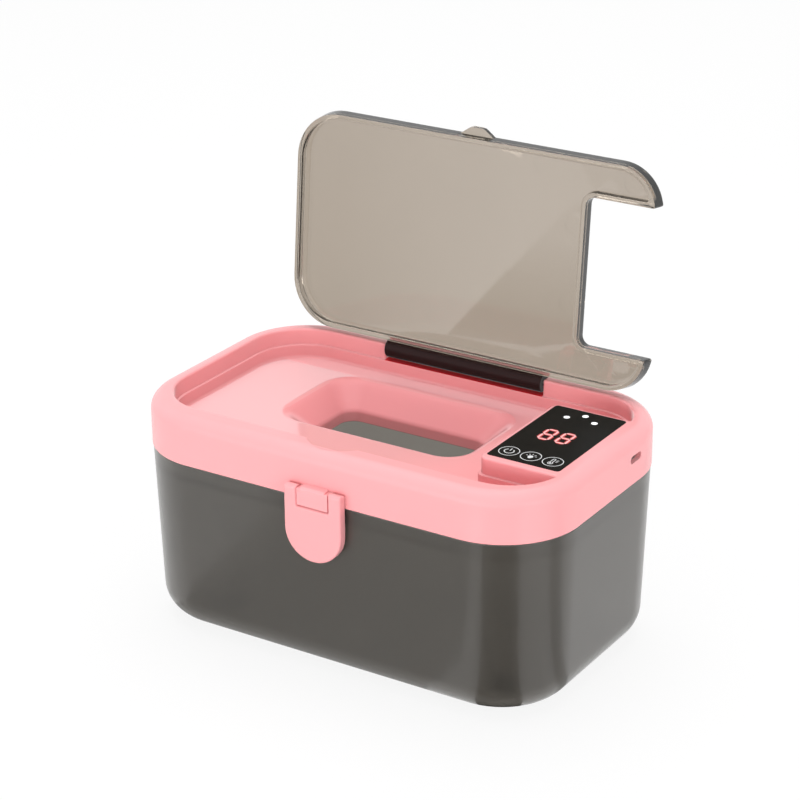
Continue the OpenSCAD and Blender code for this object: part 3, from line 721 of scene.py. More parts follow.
def make_latch():
    bm = bmesh.new()
    w = LATCH_W / 2
    ear = BLOCK_W / 2 + GAP
    top = LATCH_PIN_Z + LATCH_T / 2
    notch_z = LATCH_PIN_Z - 6.7
    shape = [
        (-w, LATCH_LOW - w, w - 0.05), (w, LATCH_LOW - w, w - 0.05), (w, top, 0.9), (ear, top, 0.5),
        (ear, notch_z, 0.6), (-ear, notch_z, 0.6), (-ear, top, 0.5), (-w, top, 0.9),
    ]
    half = LATCH_T / 2
    stops = [(-0.3, 0.0), (-0.09, 0.09), (0.0, 0.3), (0.0, 0.8), (0.0, 1.3), (0.0, 1.8), (0.0, 2.3)]
    stops += arc_profile((-LATCH_EDGE, LATCH_T - LATCH_EDGE), LATCH_EDGE, 0, 90, 5)
    rings = []
    for g, z in stops:
        # The top is round about the pin
        lift = math.sqrt(max(half ** 2 - (z - half) ** 2, 0))
        ring = [(p.x, min(p.y, LATCH_PIN_Z + lift)) for p in outline(shape, g, TRAY_STEPS)]
        rings.append(add_ring(bm, ring, z))
    loft(bm, rings)
    # Hollow back, with the lip that snaps over the catch ridge
    hollow = shape[:2] + [(w, LATCH_PIN_Z - 5.5, 0.9), (-w, LATCH_PIN_Z - 5.5, 0.9)]
    deep = LATCH_HOLLOW
    stops = [(-LATCH_RIM, 0.0), (-LATCH_RIM, deep - 0.3), (-LATCH_RIM - 0.3, deep)]
    back = lofted(bm, hollow, stops, TRAY_STEPS)
    bm.faces.new(back[-1])
    fill(bm, rings[0], [back[0]])
    fill(bm, rings[-1])
    lip = bmesh.new()
    lip_y = LATCH_LOW - 5
    prism(lip, rectangle(-RIDGE_W / 2, RIDGE_W / 2, lip_y, lip_y + LIP_TALL, 0.3), 0.4, 2.2, 0.2, 3)
    joined(bm, lip)
    return piece("latch_tongue", bm, facing_front(LATCH_Y + half), sharp=45)


# ---- Panel and its signs ----


def make_panel():
    bm = bmesh.new()
    prism(bm, rectangle(*PANEL_X, *PANEL_Y, PANEL_R), RIM_Z - PANEL_T, RIM_Z, PANEL_EDGE, 6, 3)
    return piece("control_panel_glass", bm)


SIGN_Z = RIM_Z + 0.005
SIGN_T = 0.03


# Places of the three touch keys' signs, and of the display's two digits
KEYS = ((64.1, -19.7), (74.0, -19.7), (83.9, -19.7))
DIGIT_X = (69.4, 77.3)
DIGIT_Y = 2.4
DIGIT_W = 6.0
DIGIT_H = 11.2
BAR_INSET = 0.75
BAR_GAP = 0.16
BAR_W = 1.9
CORE_W = 0.8
CORE_LIFT = 0.03

# Widths of the printed lines
BOLD_LINE = 0.42
THIN_LINE = 0.32
RAY_LINE = 0.28
MARK_LINE = 0.26


def plate_of(bm, points, z=SIGN_Z):
    """A thin printed shape of a plain outline."""
    rings = [add_ring(bm, points, z), add_ring(bm, points, z + SIGN_T)]
    loft(bm, rings)
    close_ends(bm, rings)


def stroke(bm, points, width):
    """A thin printed line along points."""
    path = [Vector(p) for p in points]
    rows = []
    for i, p in enumerate(path):
        way = path[min(i + 1, len(path) - 1)] - path[max(i - 1, 0)]
        way.normalize()
        side = Vector((-way.y, way.x)) * width / 2
        a, b = p + side, p - side
        low, high = SIGN_Z, SIGN_Z + SIGN_T
        rows.append([bm.verts.new((q.x, q.y, z)) for q, z in ((a, low), (b, low), (b, high), (a, high))])
    loft(bm, rows)
    close_ends(bm, rows)


def arc(cx, cy, radius, start, end, count):
    return arc_profile((cx, cy), radius, start, end, count - 1)


def make_key_signs():
    """Three touch keys: on and off, lamp, and temperature."""
    bm = bmesh.new()
    (px, py), (lx, ly), (tx, ty) = KEYS
    stroke(bm, arc(px, py, 2.0, 125, 415, 26), BOLD_LINE)
    stroke(bm, [(px, py + 0.5), (px, py + 2.6)], BOLD_LINE)
    # Lamp: a drop with its rays
    drop = arc(lx, ly - 0.4, 1.15, -50, 230, 16)
    drop += [(lx - 0.5, ly - 1.9), (lx + 0.5, ly - 1.9)]
    plate_of(bm, drop)
    for degrees in (20, 55, 90, 125, 160):
        c, s = math.cos(math.radians(degrees)), math.sin(math.radians(degrees))
        stroke(bm, [(lx + reach * c, ly - 0.3 + reach * s) for reach in (1.7, 2.6)], RAY_LINE)
    # Thermometer, with its marks
    stroke(bm, arc(tx - 0.4, ty - 1.5, 1.0, -235, 55, 18), THIN_LINE)
    for x in (tx - 0.95, tx + 0.15):
        stroke(bm, [(x, ty - 0.7), (x, ty + 2.0)], THIN_LINE)
    stroke(bm, arc(tx - 0.4, ty + 2.0, 0.55, 0, 180, 8), THIN_LINE)
    plate_of(bm, arc(tx - 0.4, ty - 1.5, 0.5, 0, 337.5, 16))
    for y in (ty + 0.2, ty + 1.0, ty + 1.8):
        stroke(bm, [(tx + 0.9, y), (tx + 1.9, y)], MARK_LINE)
    return piece("key_signs", bm, merge=0.0001)


def make_digits(name, bar, lift):
    """The display's two digits, as seven bars each."""
    bm = bmesh.new()
    h = bar / 2

    def level_bar(y):
        x0 = BAR_INSET + BAR_GAP
        x1 = DIGIT_W - x0
        return [(x0, y), (x0 + h, y - h), (x1 - h, y - h), (x1, y), (x1 - h, y + h), (x0 + h, y + h)]

    def upright_bar(x, low, high):
        y0 = low + BAR_GAP
        y1 = high - BAR_GAP
        return [(x, y0), (x + h, y0 + h), (x + h, y1 - h), (x, y1), (x - h, y1 - h), (x - h, y0 + h)]

    low, middle, high = BAR_INSET, DIGIT_H / 2, DIGIT_H - BAR_INSET
    for centre in DIGIT_X:
        x0, y0 = centre - DIGIT_W / 2, DIGIT_Y - DIGIT_H / 2
        bars = [level_bar(y) for y in (low, middle, high)]
        for x in (BAR_INSET, DIGIT_W - BAR_INSET):
            bars.append(upright_bar(x, low, middle))
            bars.append(upright_bar(x, middle, high))
        for points in bars:
            plate_of(bm, [(x0 + x, y0 + y) for x, y in points], SIGN_Z + lift)
    return piece(name, bm, merge=0.0001)


# ---- Things that repeat, by Geometry Nodes ----


def new_tree(name, sizes):
    tree = bpy.data.node_groups.new(name, "GeometryNodeTree")
    tree.interface.new_socket(name="Places", in_out="INPUT", socket_type="NodeSocketGeometry")
    inputs = {}
    for label, value in sizes.items():
        item = tree.interface.new_socket(name=label, in_out="INPUT", socket_type="NodeSocketFloat")
        item.default_value = value
        inputs[label] = item.identifier
    item = tree.interface.new_socket(name="Finish", in_out="INPUT", socket_type="NodeSocketMaterial")
    inputs["Finish"] = item.identifier
    tree.interface.new_socket(name="Result", in_out="OUTPUT", socket_type="NodeSocketGeometry")
    start = tree.nodes.new("NodeGroupInput")
    end = tree.nodes.new("NodeGroupOutput")
    return tree, inputs, start, end


def finish_tree(tree, start, end, shape):
    """Puts the shape at every place, then makes it real and gives it its finish."""
    links = tree.links
    spread = tree.nodes.new("GeometryNodeInstanceOnPoints")
    real = tree.nodes.new("GeometryNodeRealizeInstances")
    smooth = tree.nodes.new("GeometryNodeSetShadeSmooth")
    coat = tree.nodes.new("GeometryNodeSetMaterial")
    links.new(start.outputs["Places"], spread.inputs["Points"])
    links.new(shape, spread.inputs["Instance"])
    links.new(spread.outputs["Instances"], real.inputs["Geometry"])
    links.new(real.outputs["Geometry"], smooth.inputs["Geometry"])
    smooth.inputs["Shade Smooth"].default_value = False
    links.new(smooth.outputs["Geometry"], coat.inputs["Geometry"])
    links.new(start.outputs["Finish"], coat.inputs["Material"])
    links.new(coat.outputs["Geometry"], end.inputs["Result"])


def maths(tree, operation, a, b):
    node = tree.nodes.new("ShaderNodeMath")
    node.operation = operation
    for socket, value in ((node.inputs[0], a), (node.inputs[1], b)):
        if isinstance(value, (int, float)):
            socket.default_value = value
        else:
            tree.links.new(value, socket)
    return node.outputs[0]


def raised(tree, mesh, height):
    """Moves a mesh up by a height."""
    move = tree.nodes.new("GeometryNodeTransform")
    up = tree.nodes.new("ShaderNodeCombineXYZ")
    tree.links.new(height, up.inputs["Z"])
    tree.links.new(mesh, move.inputs["Geometry"])
    tree.links.new(up.outputs[0], move.inputs["Translation"])
    return move.outputs["Geometry"]


def together(tree, *meshes):
    join = tree.nodes.new("GeometryNodeJoinGeometry")
    for mesh in meshes:
        tree.links.new(mesh, join.inputs[0])
    return join.outputs[0]


def disc_tree():
    """A round disc with a chamfered rim, standing on each place."""
    sizes = {"Radius": 0.003, "Height": 0.001, "Chamfer": 0.0002}
    tree, inputs, start, end = new_tree("round_discs", sizes)
    radius, height, chamfer = (start.outputs[n] for n in sizes)
    drum = tree.nodes.new("GeometryNodeMeshCylinder")
    drum.inputs["Vertices"].default_value = 40
    body_h = maths(tree, "SUBTRACT", height, chamfer)
    tree.links.new(radius, drum.inputs["Radius"])
    tree.links.new(body_h, drum.inputs["Depth"])
    lower = raised(tree, drum.outputs["Mesh"], maths(tree, "MULTIPLY", body_h, 0.5))
    rim = tree.nodes.new("GeometryNodeMeshCone")
    rim.inputs["Vertices"].default_value = 40
    tree.links.new(radius, rim.inputs["Radius Bottom"])
    tree.links.new(maths(tree, "SUBTRACT", radius, chamfer), rim.inputs["Radius Top"])
    tree.links.new(chamfer, rim.inputs["Depth"])
    upper = raised(tree, rim.outputs["Mesh"], body_h)
    finish_tree(tree, start, end, together(tree, upper, lower))
    return tree, inputs


def ring_tree():
    """A thin flat ring round each place."""
    tree, inputs, start, end = new_tree("thin_rings", {"Radius": 0.0045, "Line": 0.0003, "Height": 0.00003})
    circle = tree.nodes.new("GeometryNodeCurvePrimitiveCircle")
    circle.inputs["Resolution"].default_value = 64
    tree.links.new(start.outputs["Radius"], circle.inputs["Radius"])
    bar = tree.nodes.new("GeometryNodeCurvePrimitiveQuadrilateral")
    tree.links.new(start.outputs["Line"], bar.inputs["Width"])
    tree.links.new(start.outputs["Height"], bar.inputs["Height"])
    sweep = tree.nodes.new("GeometryNodeCurveToMesh")
    tree.links.new(circle.outputs["Curve"], sweep.inputs["Curve"])
    tree.links.new(bar.outputs["Curve"], sweep.inputs["Profile Curve"])
    finish_tree(tree, start, end, sweep.outputs["Mesh"])
    return tree, inputs


def screw_tree():
    """A screw that stands on its head at each place, with a cross recess in the head."""
    sizes = {"Radius": 0.0026, "Height": 0.0012, "Recess": 0.0007, "Shank": 0.0011, "Length": 0.008}
    tree, inputs, start, end = new_tree("cross_screws", sizes)
    radius, height, recess, shank, length = (start.outputs[n] for n in sizes)
    head = tree.nodes.new("GeometryNodeMeshCone")
    head.inputs["Vertices"].default_value = 36
    tree.links.new(maths(tree, "MULTIPLY", radius, 0.82), head.inputs["Radius Bottom"])
    tree.links.new(radius, head.inputs["Radius Top"])
    tree.links.new(height, head.inputs["Depth"])
    cross = tree.nodes.new("GeometryNodeJoinGeometry")
    for long_way in ("X", "Y"):
        slot = tree.nodes.new("GeometryNodeMeshCube")
        size = tree.nodes.new("ShaderNodeCombineXYZ")
        for axis in ("X", "Y"):
            share = 1.15 if axis == long_way else 0.28
            tree.links.new(maths(tree, "MULTIPLY", radius, share), size.inputs[axis])
        tree.links.new(maths(tree, "MULTIPLY", recess, 2.0), size.inputs["Z"])
        tree.links.new(size.outputs[0], slot.inputs["Size"])
        tree.links.new(slot.outputs["Mesh"], cross.inputs[0])
    carve = tree.nodes.new("GeometryNodeMeshBoolean")
    carve.operation = "DIFFERENCE"
    tree.links.new(head.outputs["Mesh"], carve.inputs["Mesh 1"])
    tree.links.new(cross.outputs[0], carve.inputs["Mesh 2"])
    rod = tree.nodes.new("GeometryNodeMeshCylinder")
    rod.inputs["Vertices"].default_value = 20
    tree.links.new(shank, rod.inputs["Radius"])
    tree.links.new(length, rod.inputs["Depth"])
    rod_z = maths(tree, "ADD", maths(tree, "MULTIPLY", length, 0.5), height)
    shaft = raised(tree, rod.outputs["Mesh"], rod_z)
    finish_tree(tree, start, end, together(tree, shaft, carve.outputs["Mesh"]))
    return tree, inputs


def spread(name, points, tree_and_inputs, sizes, finish):
    """One piece of a thing that repeats at the given places, in millimetres."""
    tree, inputs = tree_and_inputs
    mesh = bpy.data.meshes.new(name + "_places")
    mesh.from_pydata([Vector(p) * MM for p in points], [], [])
    seed = bpy.data.objects.new(name + "_places", mesh)
    bpy.context.scene.collection.objects.link(seed)
    mod = seed.modifiers.new("places", "NODES")
    mod.node_group = tree
    for label, value in sizes.items():
        mod[inputs[label]] = value * MM
    mod[inputs["Finish"]] = finish
    graph = bpy.context.evaluated_depsgraph_get()
    result = bpy.data.meshes.new_from_object(seed.evaluated_get(graph))
    result.name = name
    bpy.data.objects.remove(seed)
    obj = bpy.data.objects.new(name, result)
    bpy.context.scene.collection.objects.link(obj)
    return obj


# ---- Shared effects ----


def group(name, inputs, outputs):
    tree = bpy.data.node_groups.new(name, "ShaderNodeTree")
    for label, kind, value in inputs:
        item = tree.interface.new_socket(name=label, in_out="INPUT", socket_type=kind)
        item.default_value = value
    for label, kind in outputs:
        tree.interface.new_socket(name=label, in_out="OUTPUT", socket_type=kind)
    return tree, tree.nodes.new("NodeGroupInput"), tree.nodes.new("NodeGroupOutput")


def noise(tree, vector, scale, detail=2.0):
    """A noise pattern. Its scale is a number or a socket."""
    node = tree.nodes.new("ShaderNodeTexNoise")
    node.inputs["Detail"].default_value = detail
    tree.links.new(vector, node.inputs["Vector"])
    if isinstance(scale, float):
        node.inputs["Scale"].default_value = scale
    else:
        tree.links.new(scale, node.inputs["Scale"])
    return node.outputs["Fac"]


def centred(tree, pattern):
    return maths(tree, "SUBTRACT", pattern, 0.5)


def moulded_surface():
    """Moulded plastic: slow drift of tone, fine ripple, and roughness that varies with handling."""
    tree, start, end = group(
        "moulded_surface",
        [("Colour", "NodeSocketColor", (0.8, 0.8, 0.8, 1)), ("Drift", "NodeSocketFloat", 0.04),
         ("Roughness", "NodeSocketFloat", 0.3), ("Spread", "NodeSocketFloat", 0.05),
         ("Grain Scale", "NodeSocketFloat", 900.0)],
        [("Colour", "NodeSocketColor"), ("Roughness", "NodeSocketFloat"), ("Height", "NodeSocketFloat")])
    nodes, links = tree.nodes, tree.links
    place = nodes.new("ShaderNodeTexCoord").outputs["Object"]
    slow = noise(tree, place, 22.0, 3.0)
    fine = noise(tree, place, start.outputs["Grain Scale"])
    hands = noise(tree, place, 65.0, 5.0)
    tone = maths(tree, "MULTIPLY", centred(tree, slow), start.outputs["Drift"])
    tone = maths(tree, "ADD", maths(tree, "MULTIPLY", tone, 2.0), 1.0)
    shift = nodes.new("ShaderNodeHueSaturation")
    links.new(start.outputs["Colour"], shift.inputs["Color"])
    links.new(tone, shift.inputs["Value"])
    links.new(shift.outputs["Color"], end.inputs["Colour"])
    vary = maths(tree, "MULTIPLY", centred(tree, hands), start.outputs["Spread"])
    rough = maths(tree, "ADD", start.outputs["Roughness"], maths(tree, "MULTIPLY", vary, 2.0))
    links.new(rough, end.inputs["Roughness"])
    links.new(fine, end.inputs["Height"])
    return tree


def brushed_metal():
    """Fine lines along X, for drawn and stamped metal."""
    tree, start, end = group(
        "brushed_metal",
        [("Roughness", "NodeSocketFloat", 0.3), ("Spread", "NodeSocketFloat", 0.1)],
        [("Roughness", "NodeSocketFloat"), ("Height", "NodeSocketFloat")])
    nodes, links = tree.nodes, tree.links
    place = nodes.new("ShaderNodeTexCoord")
    stretch = nodes.new("ShaderNodeMapping")
    stretch.inputs["Scale"].default_value = (60.0, 2400.0, 2400.0)
    links.new(place.outputs["Object"], stretch.inputs["Vector"])
    lines = noise(tree, stretch.outputs[0], 1.0)
    vary = maths(tree, "MULTIPLY", centred(tree, lines), start.outputs["Spread"])
    links.new(maths(tree, "ADD", start.outputs["Roughness"], vary), end.inputs["Roughness"])
    links.new(lines, end.inputs["Height"])
    return tree


MOULDED = moulded_surface()
BRUSHED = brushed_metal()


def new_material(name):
    mat = bpy.data.materials.new(name)
    mat.use_nodes = True
    return mat, mat.node_tree, mat.node_tree.nodes["Principled BSDF"]


def effect_node(tree, shared, values):
    """Uses a shared effect, at its own values."""
    effect = tree.nodes.new("ShaderNodeGroup")
    effect.node_tree = shared
    for label, value in values.items():
        effect.inputs[label].default_value = value
    return effect


def bumped(tree, shader, height, strength, distance):
    bump = tree.nodes.new("ShaderNodeBump")
    bump.inputs["Strength"].default_value = strength
    bump.inputs["Distance"].default_value = distance
    tree.links.new(height, bump.inputs["Height"])
    tree.links.new(bump.outputs["Normal"], shader.inputs["Normal"])


def moulded(name, colour, drift, roughness, spread_by, grain, strength, depth=0.00005, settings=()):
    """A plastic, rubber or other moulded finish."""
    mat, tree, shader = new_material(name)
    effect = effect_node(tree, MOULDED, {
        "Colour": (*colour, 1), "Drift": drift, "Roughness": roughness, "Spread": spread_by,
        "Grain Scale": grain})
    tree.links.new(effect.outputs["Colour"], shader.inputs["Base Color"])
    tree.links.new(effect.outputs["Roughness"], shader.inputs["Roughness"])
    bumped(tree, shader, effect.outputs["Height"], strength, depth)
    for label, value in dict(settings).items():
        shader.inputs[label].default_value = value
    return mat


def metal(name, colour, roughness, spread_by, strength):
    mat, tree, shader = new_material(name)
    effect = effect_node(tree, BRUSHED, {"Roughness": roughness, "Spread": spread_by})
    shader.inputs["Base Color"].default_value = (*colour, 1)
    shader.inputs["Metallic"].default_value = 1.0
    tree.links.new(effect.outputs["Roughness"], shader.inputs["Roughness"])
    bumped(tree, shader, effect.outputs["Height"], strength, 0.00002)
    return mat


def fade_coat(mat, axis, full, none):
    """Ends a clear coat along an axis, between two places in millimetres."""
    tree = mat.node_tree
    coat = tree.nodes["Principled BSDF"].inputs["Coat Weight"]
    place = tree.nodes.new("ShaderNodeTexCoord")
    axes = tree.nodes.new("ShaderNodeSeparateXYZ")
    fade = tree.nodes.new("ShaderNodeMapRange")
    fade.inputs["From Min"].default_value = full * MM
    fade.inputs["From Max"].default_value = none * MM
    fade.inputs["To Min"].default_value = 1.0
    fade.inputs["To Max"].default_value = 0.0
    tree.links.new(place.outputs["Object"], axes.inputs[0])
    tree.links.new(axes.outputs[axis], fade.inputs["Value"])
    weight = fade.outputs["Result"]
    if coat.is_linked:
        weight = maths(tree, "MULTIPLY", coat.links[0].from_socket, weight)
    tree.links.new(weight, coat)


# ---- Finishes ----

PINK_TONE = (0.90, 0.376, 0.390)
PINK = moulded("pink_gloss_plastic", PINK_TONE, 0.02, 0.26, 0.03, 420.0, 0.01, 0.00002, {"IOR": 1.5})
PINK_TRAY = moulded("pink_polished_tray", PINK_TONE, 0.02, 0.24, 0.03, 420.0, 0.01, 0.00002,
                    {"Coat Weight": 1.0, "Coat Roughness": 0.05, "Coat IOR": 1.7, "IOR": 1.5})
fade_coat(PINK_TRAY, "Y", 39.5, 41.0)
fade_coat(PINK_TRAY, "X", 10.0, 40.0)
# Painted shade: the well's slopes are a deeper pink than the rest, to stand for the shade that falls into
# the well
PINK_WELL_PAINTED_SHADE = moulded("pink_well_painted_shade", (0.90, 0.335, 0.350), 0.02, 0.26, 0.03, 420.0, 0.01,
                    0.00002, {"IOR": 1.5})
# Painted shade: the gap under the hinge barrel is coloured deep red to stand for the shadow and the red
# light bounced between pink walls there
GAP_PAINTED_SHADE = moulded("red_gap_shade", (0.90, 0.03, 0.04), 0.02, 0.6, 0.03, 420.0, 0.01, 0.00002,
                  {"Specular IOR Level": 0.05})
SMOKE_BOX = moulded("smoked_box_plastic", (0.247, 0.230, 0.206), 0.05, 0.32, 0.03, 260.0, 0.005, 0.00002,
                    {"Transmission Weight": 0.9, "IOR": 1.49, "Coat Weight": 0.4, "Coat Roughness": 0.12})
SMOKE_LID = moulded("smoked_lid_plastic", (0.424, 0.361, 0.295), 0.03, 0.03, 0.01, 200.0, 0.01, 0.00002,
                    {"Transmission Weight": 1.0, "IOR": 1.65})
BARREL = moulded("dark_hinge_plastic", (0.022, 0.009, 0.009), 0.10, 0.34, 0.06, 900.0, 0.12, 0.00004,
                 {"Specular IOR Level": 0.15})
PANEL = moulded("black_panel_gloss", (0.005, 0.005, 0.0045), 0.15, 0.34, 0.03, 300.0, 0.01, 0.00002,
                {"Specular IOR Level": 0.05})
WHITE = moulded("white_cover_plastic", (0.78, 0.77, 0.74), 0.02, 0.38, 0.05, 1100.0, 0.10)
SILICONE = moulded("gasket_silicone", (0.72, 0.72, 0.70), 0.04, 0.55, 0.06, 700.0, 0.10, 0.00005,
                   {"Subsurface Weight": 0.1, "Subsurface Radius": (0.001, 0.001, 0.001)})
RUBBER = moulded("foot_rubber", (0.035, 0.035, 0.035), 0.20, 0.72, 0.08, 1400.0, 0.30, 0.00008)
FILM = moulded("heating_film", (0.55, 0.22, 0.05), 0.10, 0.33, 0.05, 500.0, 0.05)
FOAM = moulded("insulation_foam", (0.16, 0.16, 0.17), 0.20, 0.88, 0.05, 1300.0, 0.60, 0.0002)
BOARD = moulded("board_lacquer", (0.02, 0.13, 0.05), 0.12, 0.32, 0.06, 800.0, 0.10)
BLACK = moulded("black_plastic", (0.025, 0.025, 0.027), 0.10, 0.42, 0.06, 1000.0, 0.12)
WIRE = moulded("red_wire_sleeve", (0.42, 0.03, 0.025), 0.08, 0.42, 0.05, 1200.0, 0.10)
PRINT = moulded("white_print", (0.72, 0.73, 0.74), 0.05, 0.45, 0.05, 2500.0, 0.05)
STEEL = metal("brushed_steel", (0.56, 0.56, 0.57), 0.32, 0.16, 0.10)
# Painted shade: the socket's metal shell is tinted dark red to stand for the red shade deep in the socket's
# recess
SOCKET_PLATE_PAINTED_SHADE = metal("socket_plate_painted_shade", (0.16, 0.045, 0.045), 0.5, 0.10, 0.10)
ALUMINIUM = metal("rolled_aluminium", (0.76, 0.77, 0.78), 0.38, 0.20, 0.12)
GOLD = metal("plated_spring", (0.78, 0.60, 0.28), 0.30, 0.10, 0.05)


def glowing(name, colour, strength, roughness):
    """A lit display bar or lamp, a little uneven, as light behind a filter is."""
    mat, tree, shader = new_material(name)
    effect = effect_node(tree, MOULDED, {
        "Colour": (*colour, 1), "Drift": 0.45, "Roughness": roughness, "Spread": 0.03,
        "Grain Scale": 900.0})
    tree.links.new(effect.outputs["Colour"], shader.inputs["Base Color"])
    tree.links.new(effect.outputs["Colour"], shader.inputs["Emission Color"])
    tree.links.new(effect.outputs["Roughness"], shader.inputs["Roughness"])
    shader.inputs["Emission Strength"].default_value = strength
    return mat


RED_GLOW = glowing("red_display_light", (0.42, 0.03, 0.03), 0.5, 0.3)
PINK_GLOW = glowing("bright_display_light", (0.80, 0.42, 0.42), 0.4, 0.3)
LAMP_GLOW = glowing("white_lamp_light", (0.85, 0.87, 0.88), 0.35, 0.3)

# ---- Pieces ----


def dress(obj, mat):
    obj.data.materials.clear()
    obj.data.materials.append(mat)


def put(obj, mat, body, slot, *nodes):
    dress(obj, mat)
    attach(obj, body)
    if nodes:
        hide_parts(*nodes)


def polish_tray_and_paint_shade(obj):
    """Gives the tray's floor its polish, and paints shade: deep red in the gap under the barrel, a deeper
    pink on the well's slopes.
    """
    bm = bmesh.new()
    bm.from_mesh(obj.data)
    for x in (-POCKET_X, POCKET_X):
        whole = bm.verts[:] + bm.edges[:] + bm.faces[:]
        bmesh.ops.bisect_plane(bm, geom=whole, plane_co=(x * MM, 0, 0), plane_no=(1, 0, 0))
    bm.to_mesh(obj.data)
    bm.free()
    for mat in (PINK_TRAY, GAP_PAINTED_SHADE, PINK_WELL_PAINTED_SHADE):
        obj.data.materials.append(mat)
    back_wall = TRAY_Y1 - STEP_IN + 0.05
    for face in obj.data.polygons:
        x, y, z = (c / MM for c in face.center)
        in_pocket = abs(x) < POCKET_X and back_wall < y < POCKET_Y + 0.1
        in_well = abs(x - WELL[0]) < WELL_SIZE[0] / 2 and abs(y - WELL[1]) < WELL_SIZE[1] / 2
        if face.normal.z > 0.9 and abs(z - FLOOR_Z) < 0.05:
            face.material_index = 1
        elif in_pocket and STEP_Z - 0.2 < z < STEP_Z + 2:
            # Painted shade in deep red on the faces of the pocket under the barrel
            face.material_index = 2
        elif in_well and SLOT_Z - 1 < z < FLOOR_Z - 0.05 and face.normal.z > 0.05:
            # Painted shade as a deeper pink on the well's slopes
            face.material_index = 3


housing = make_housing()
put(housing, PINK, "housing", "pink", "upper_housing")
polish_tray_and_paint_shade(housing)
# Gloss leaves out the housing and what it holds, so the lid and the tray mirror the studio alone
housing.visible_glossy = False
put(make_box(), SMOKE_BOX, "box", "smoked_box", "lower_box")
put(make_lid(), SMOKE_LID, "lid", "smoked_lid", "lid")
put(make_barrel(), BARREL, "lid", "dark_barrel", "lid_hinge_barrel")
put(make_latch(), PINK, "latch", "pink", "latch")
put(make_panel(), PANEL, "housing", "panel_black", "control_panel")
put(make_key_signs(), PRINT, "housing", "led_white")
put(make_digits("display_digits", BAR_W, 0), RED_GLOW, "housing", "led_white")
put(make_digits("display_digit_cores", CORE_W, CORE_LIFT), PINK_GLOW, "housing", "led_white")

discs = disc_tree()
rings = ring_tree()

foot_x = BODY_W / 2 - FOOT_INSET
foot_y = BODY_D / 2 - FOOT_INSET
foot_places = [(-foot_x, -foot_y, 0), (foot_x, -foot_y, 0), (foot_x, foot_y, 0), (-foot_x, foot_y, 0)]
feet = spread("rubber_foot_discs", foot_places, discs,
              {"Radius": FOOT_R, "Height": FOOT_H, "Chamfer": 0.1}, RUBBER)
put(feet, RUBBER, "box", "foot_rubber", "rubber_feet")
lamps = spread("panel_lamps", [(67.3, 21.7, SIGN_Z), (73.5, 26.3, SIGN_Z), (80.0, 21.9, SIGN_Z)],
               discs, {"Radius": 1.35, "Height": 0.05, "Chamfer": 0.02}, LAMP_GLOW)
put(lamps, LAMP_GLOW, "housing", "led_white")
key_rings = spread("key_rings", [(x, y, SIGN_Z + 0.02) for x, y in KEYS], rings,
                   {"Radius": 4.2, "Line": 0.32, "Height": 0.03}, PRINT)
put(key_rings, PRINT, "housing", "led_white")

screw_places = [(x, y, SCREW_Z) for x in (-SCREW_X, SCREW_X) for y in (-SCREW_Y, SCREW_Y)]
screw_places += [(0, -SCREW_MID_Y, SCREW_Z), (0, SCREW_MID_Y, SCREW_Z)]
screws = spread("cover_screw_heads", screw_places, screw_tree(),
                {"Radius": 2.6, "Height": 1.2, "Recess": 0.7, "Shank": 1.1, "Length": 8.0}, STEEL)
put(screws, STEEL, "housing", "steel", "cover_screws")

NODE_FINISH = {
    "rear_hinge_pins": STEEL, "inner_cover": WHITE, "seal_gasket": SILICONE,
    "heater_plate": ALUMINIUM, "heating_film": FILM, "insulation_pad": FOAM, "ntc_sensor": BLACK,
    "thermal_fuse": STEEL, "heater_leads": WIRE, "control_board": BOARD, "board_screws": STEEL,
    "display_module": BLACK, "indicator_leds": PRINT, "touch_springs": GOLD, "usb_shell": SOCKET_PLATE_PAINTED_SHADE,
    "usb_tongue": BLACK, "latch_pin": STEEL, "lid_hinge_pins": STEEL,
}
for node_name, finish in NODE_FINISH.items():
    dress(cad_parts[node_name], finish)
    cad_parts[node_name].visible_glossy = False

# ---- Floor, light and camera ----

# How much of the floor's look is plain white, how bright the world lights the pieces, the cards' height
FLOOR_GLOW = 0.88
WORLD_LIGHT = 0.58
CARD_Z = 0.3


def seen_rays(tree):
    """Where the background is seen: by the camera, in gloss, and through the smoked plastic."""
    path = tree.nodes.new("ShaderNodeLightPath")
    seen = maths(tree, "MAXIMUM", path.outputs["Is Camera Ray"], path.outputs["Is Glossy Ray"])
    return maths(tree, "MAXIMUM", seen, path.outputs["Is Transmission Ray"])


def make_floor():
    bm = bmesh.new()
    bmesh.ops.create_grid(bm, x_segments=1, y_segments=1, size=6000)
    floor = piece("studio_floor", bm)
    mat, tree, shader = new_material("pale_floor")
    shader.inputs["Base Color"].default_value = (0.86, 0.86, 0.86, 1)
    shader.inputs["Roughness"].default_value = 0.9
    shader.inputs["Specular IOR Level"].default_value = 0.1
    seen = seen_rays(tree)
    shine = tree.nodes.new("ShaderNodeEmission")
    shine.inputs["Color"].default_value = (1, 1, 1, 1)
    mix = tree.nodes.new("ShaderNodeMixShader")
    tree.links.new(maths(tree, "MULTIPLY", seen, FLOOR_GLOW), mix.inputs["Fac"])
    tree.links.new(shader.outputs["BSDF"], mix.inputs[1])
    tree.links.new(shine.outputs["Emission"], mix.inputs[2])
    tree.links.new(mix.outputs[0], tree.nodes["Material Output"].inputs["Surface"])
    dress(floor, mat)


make_floor()


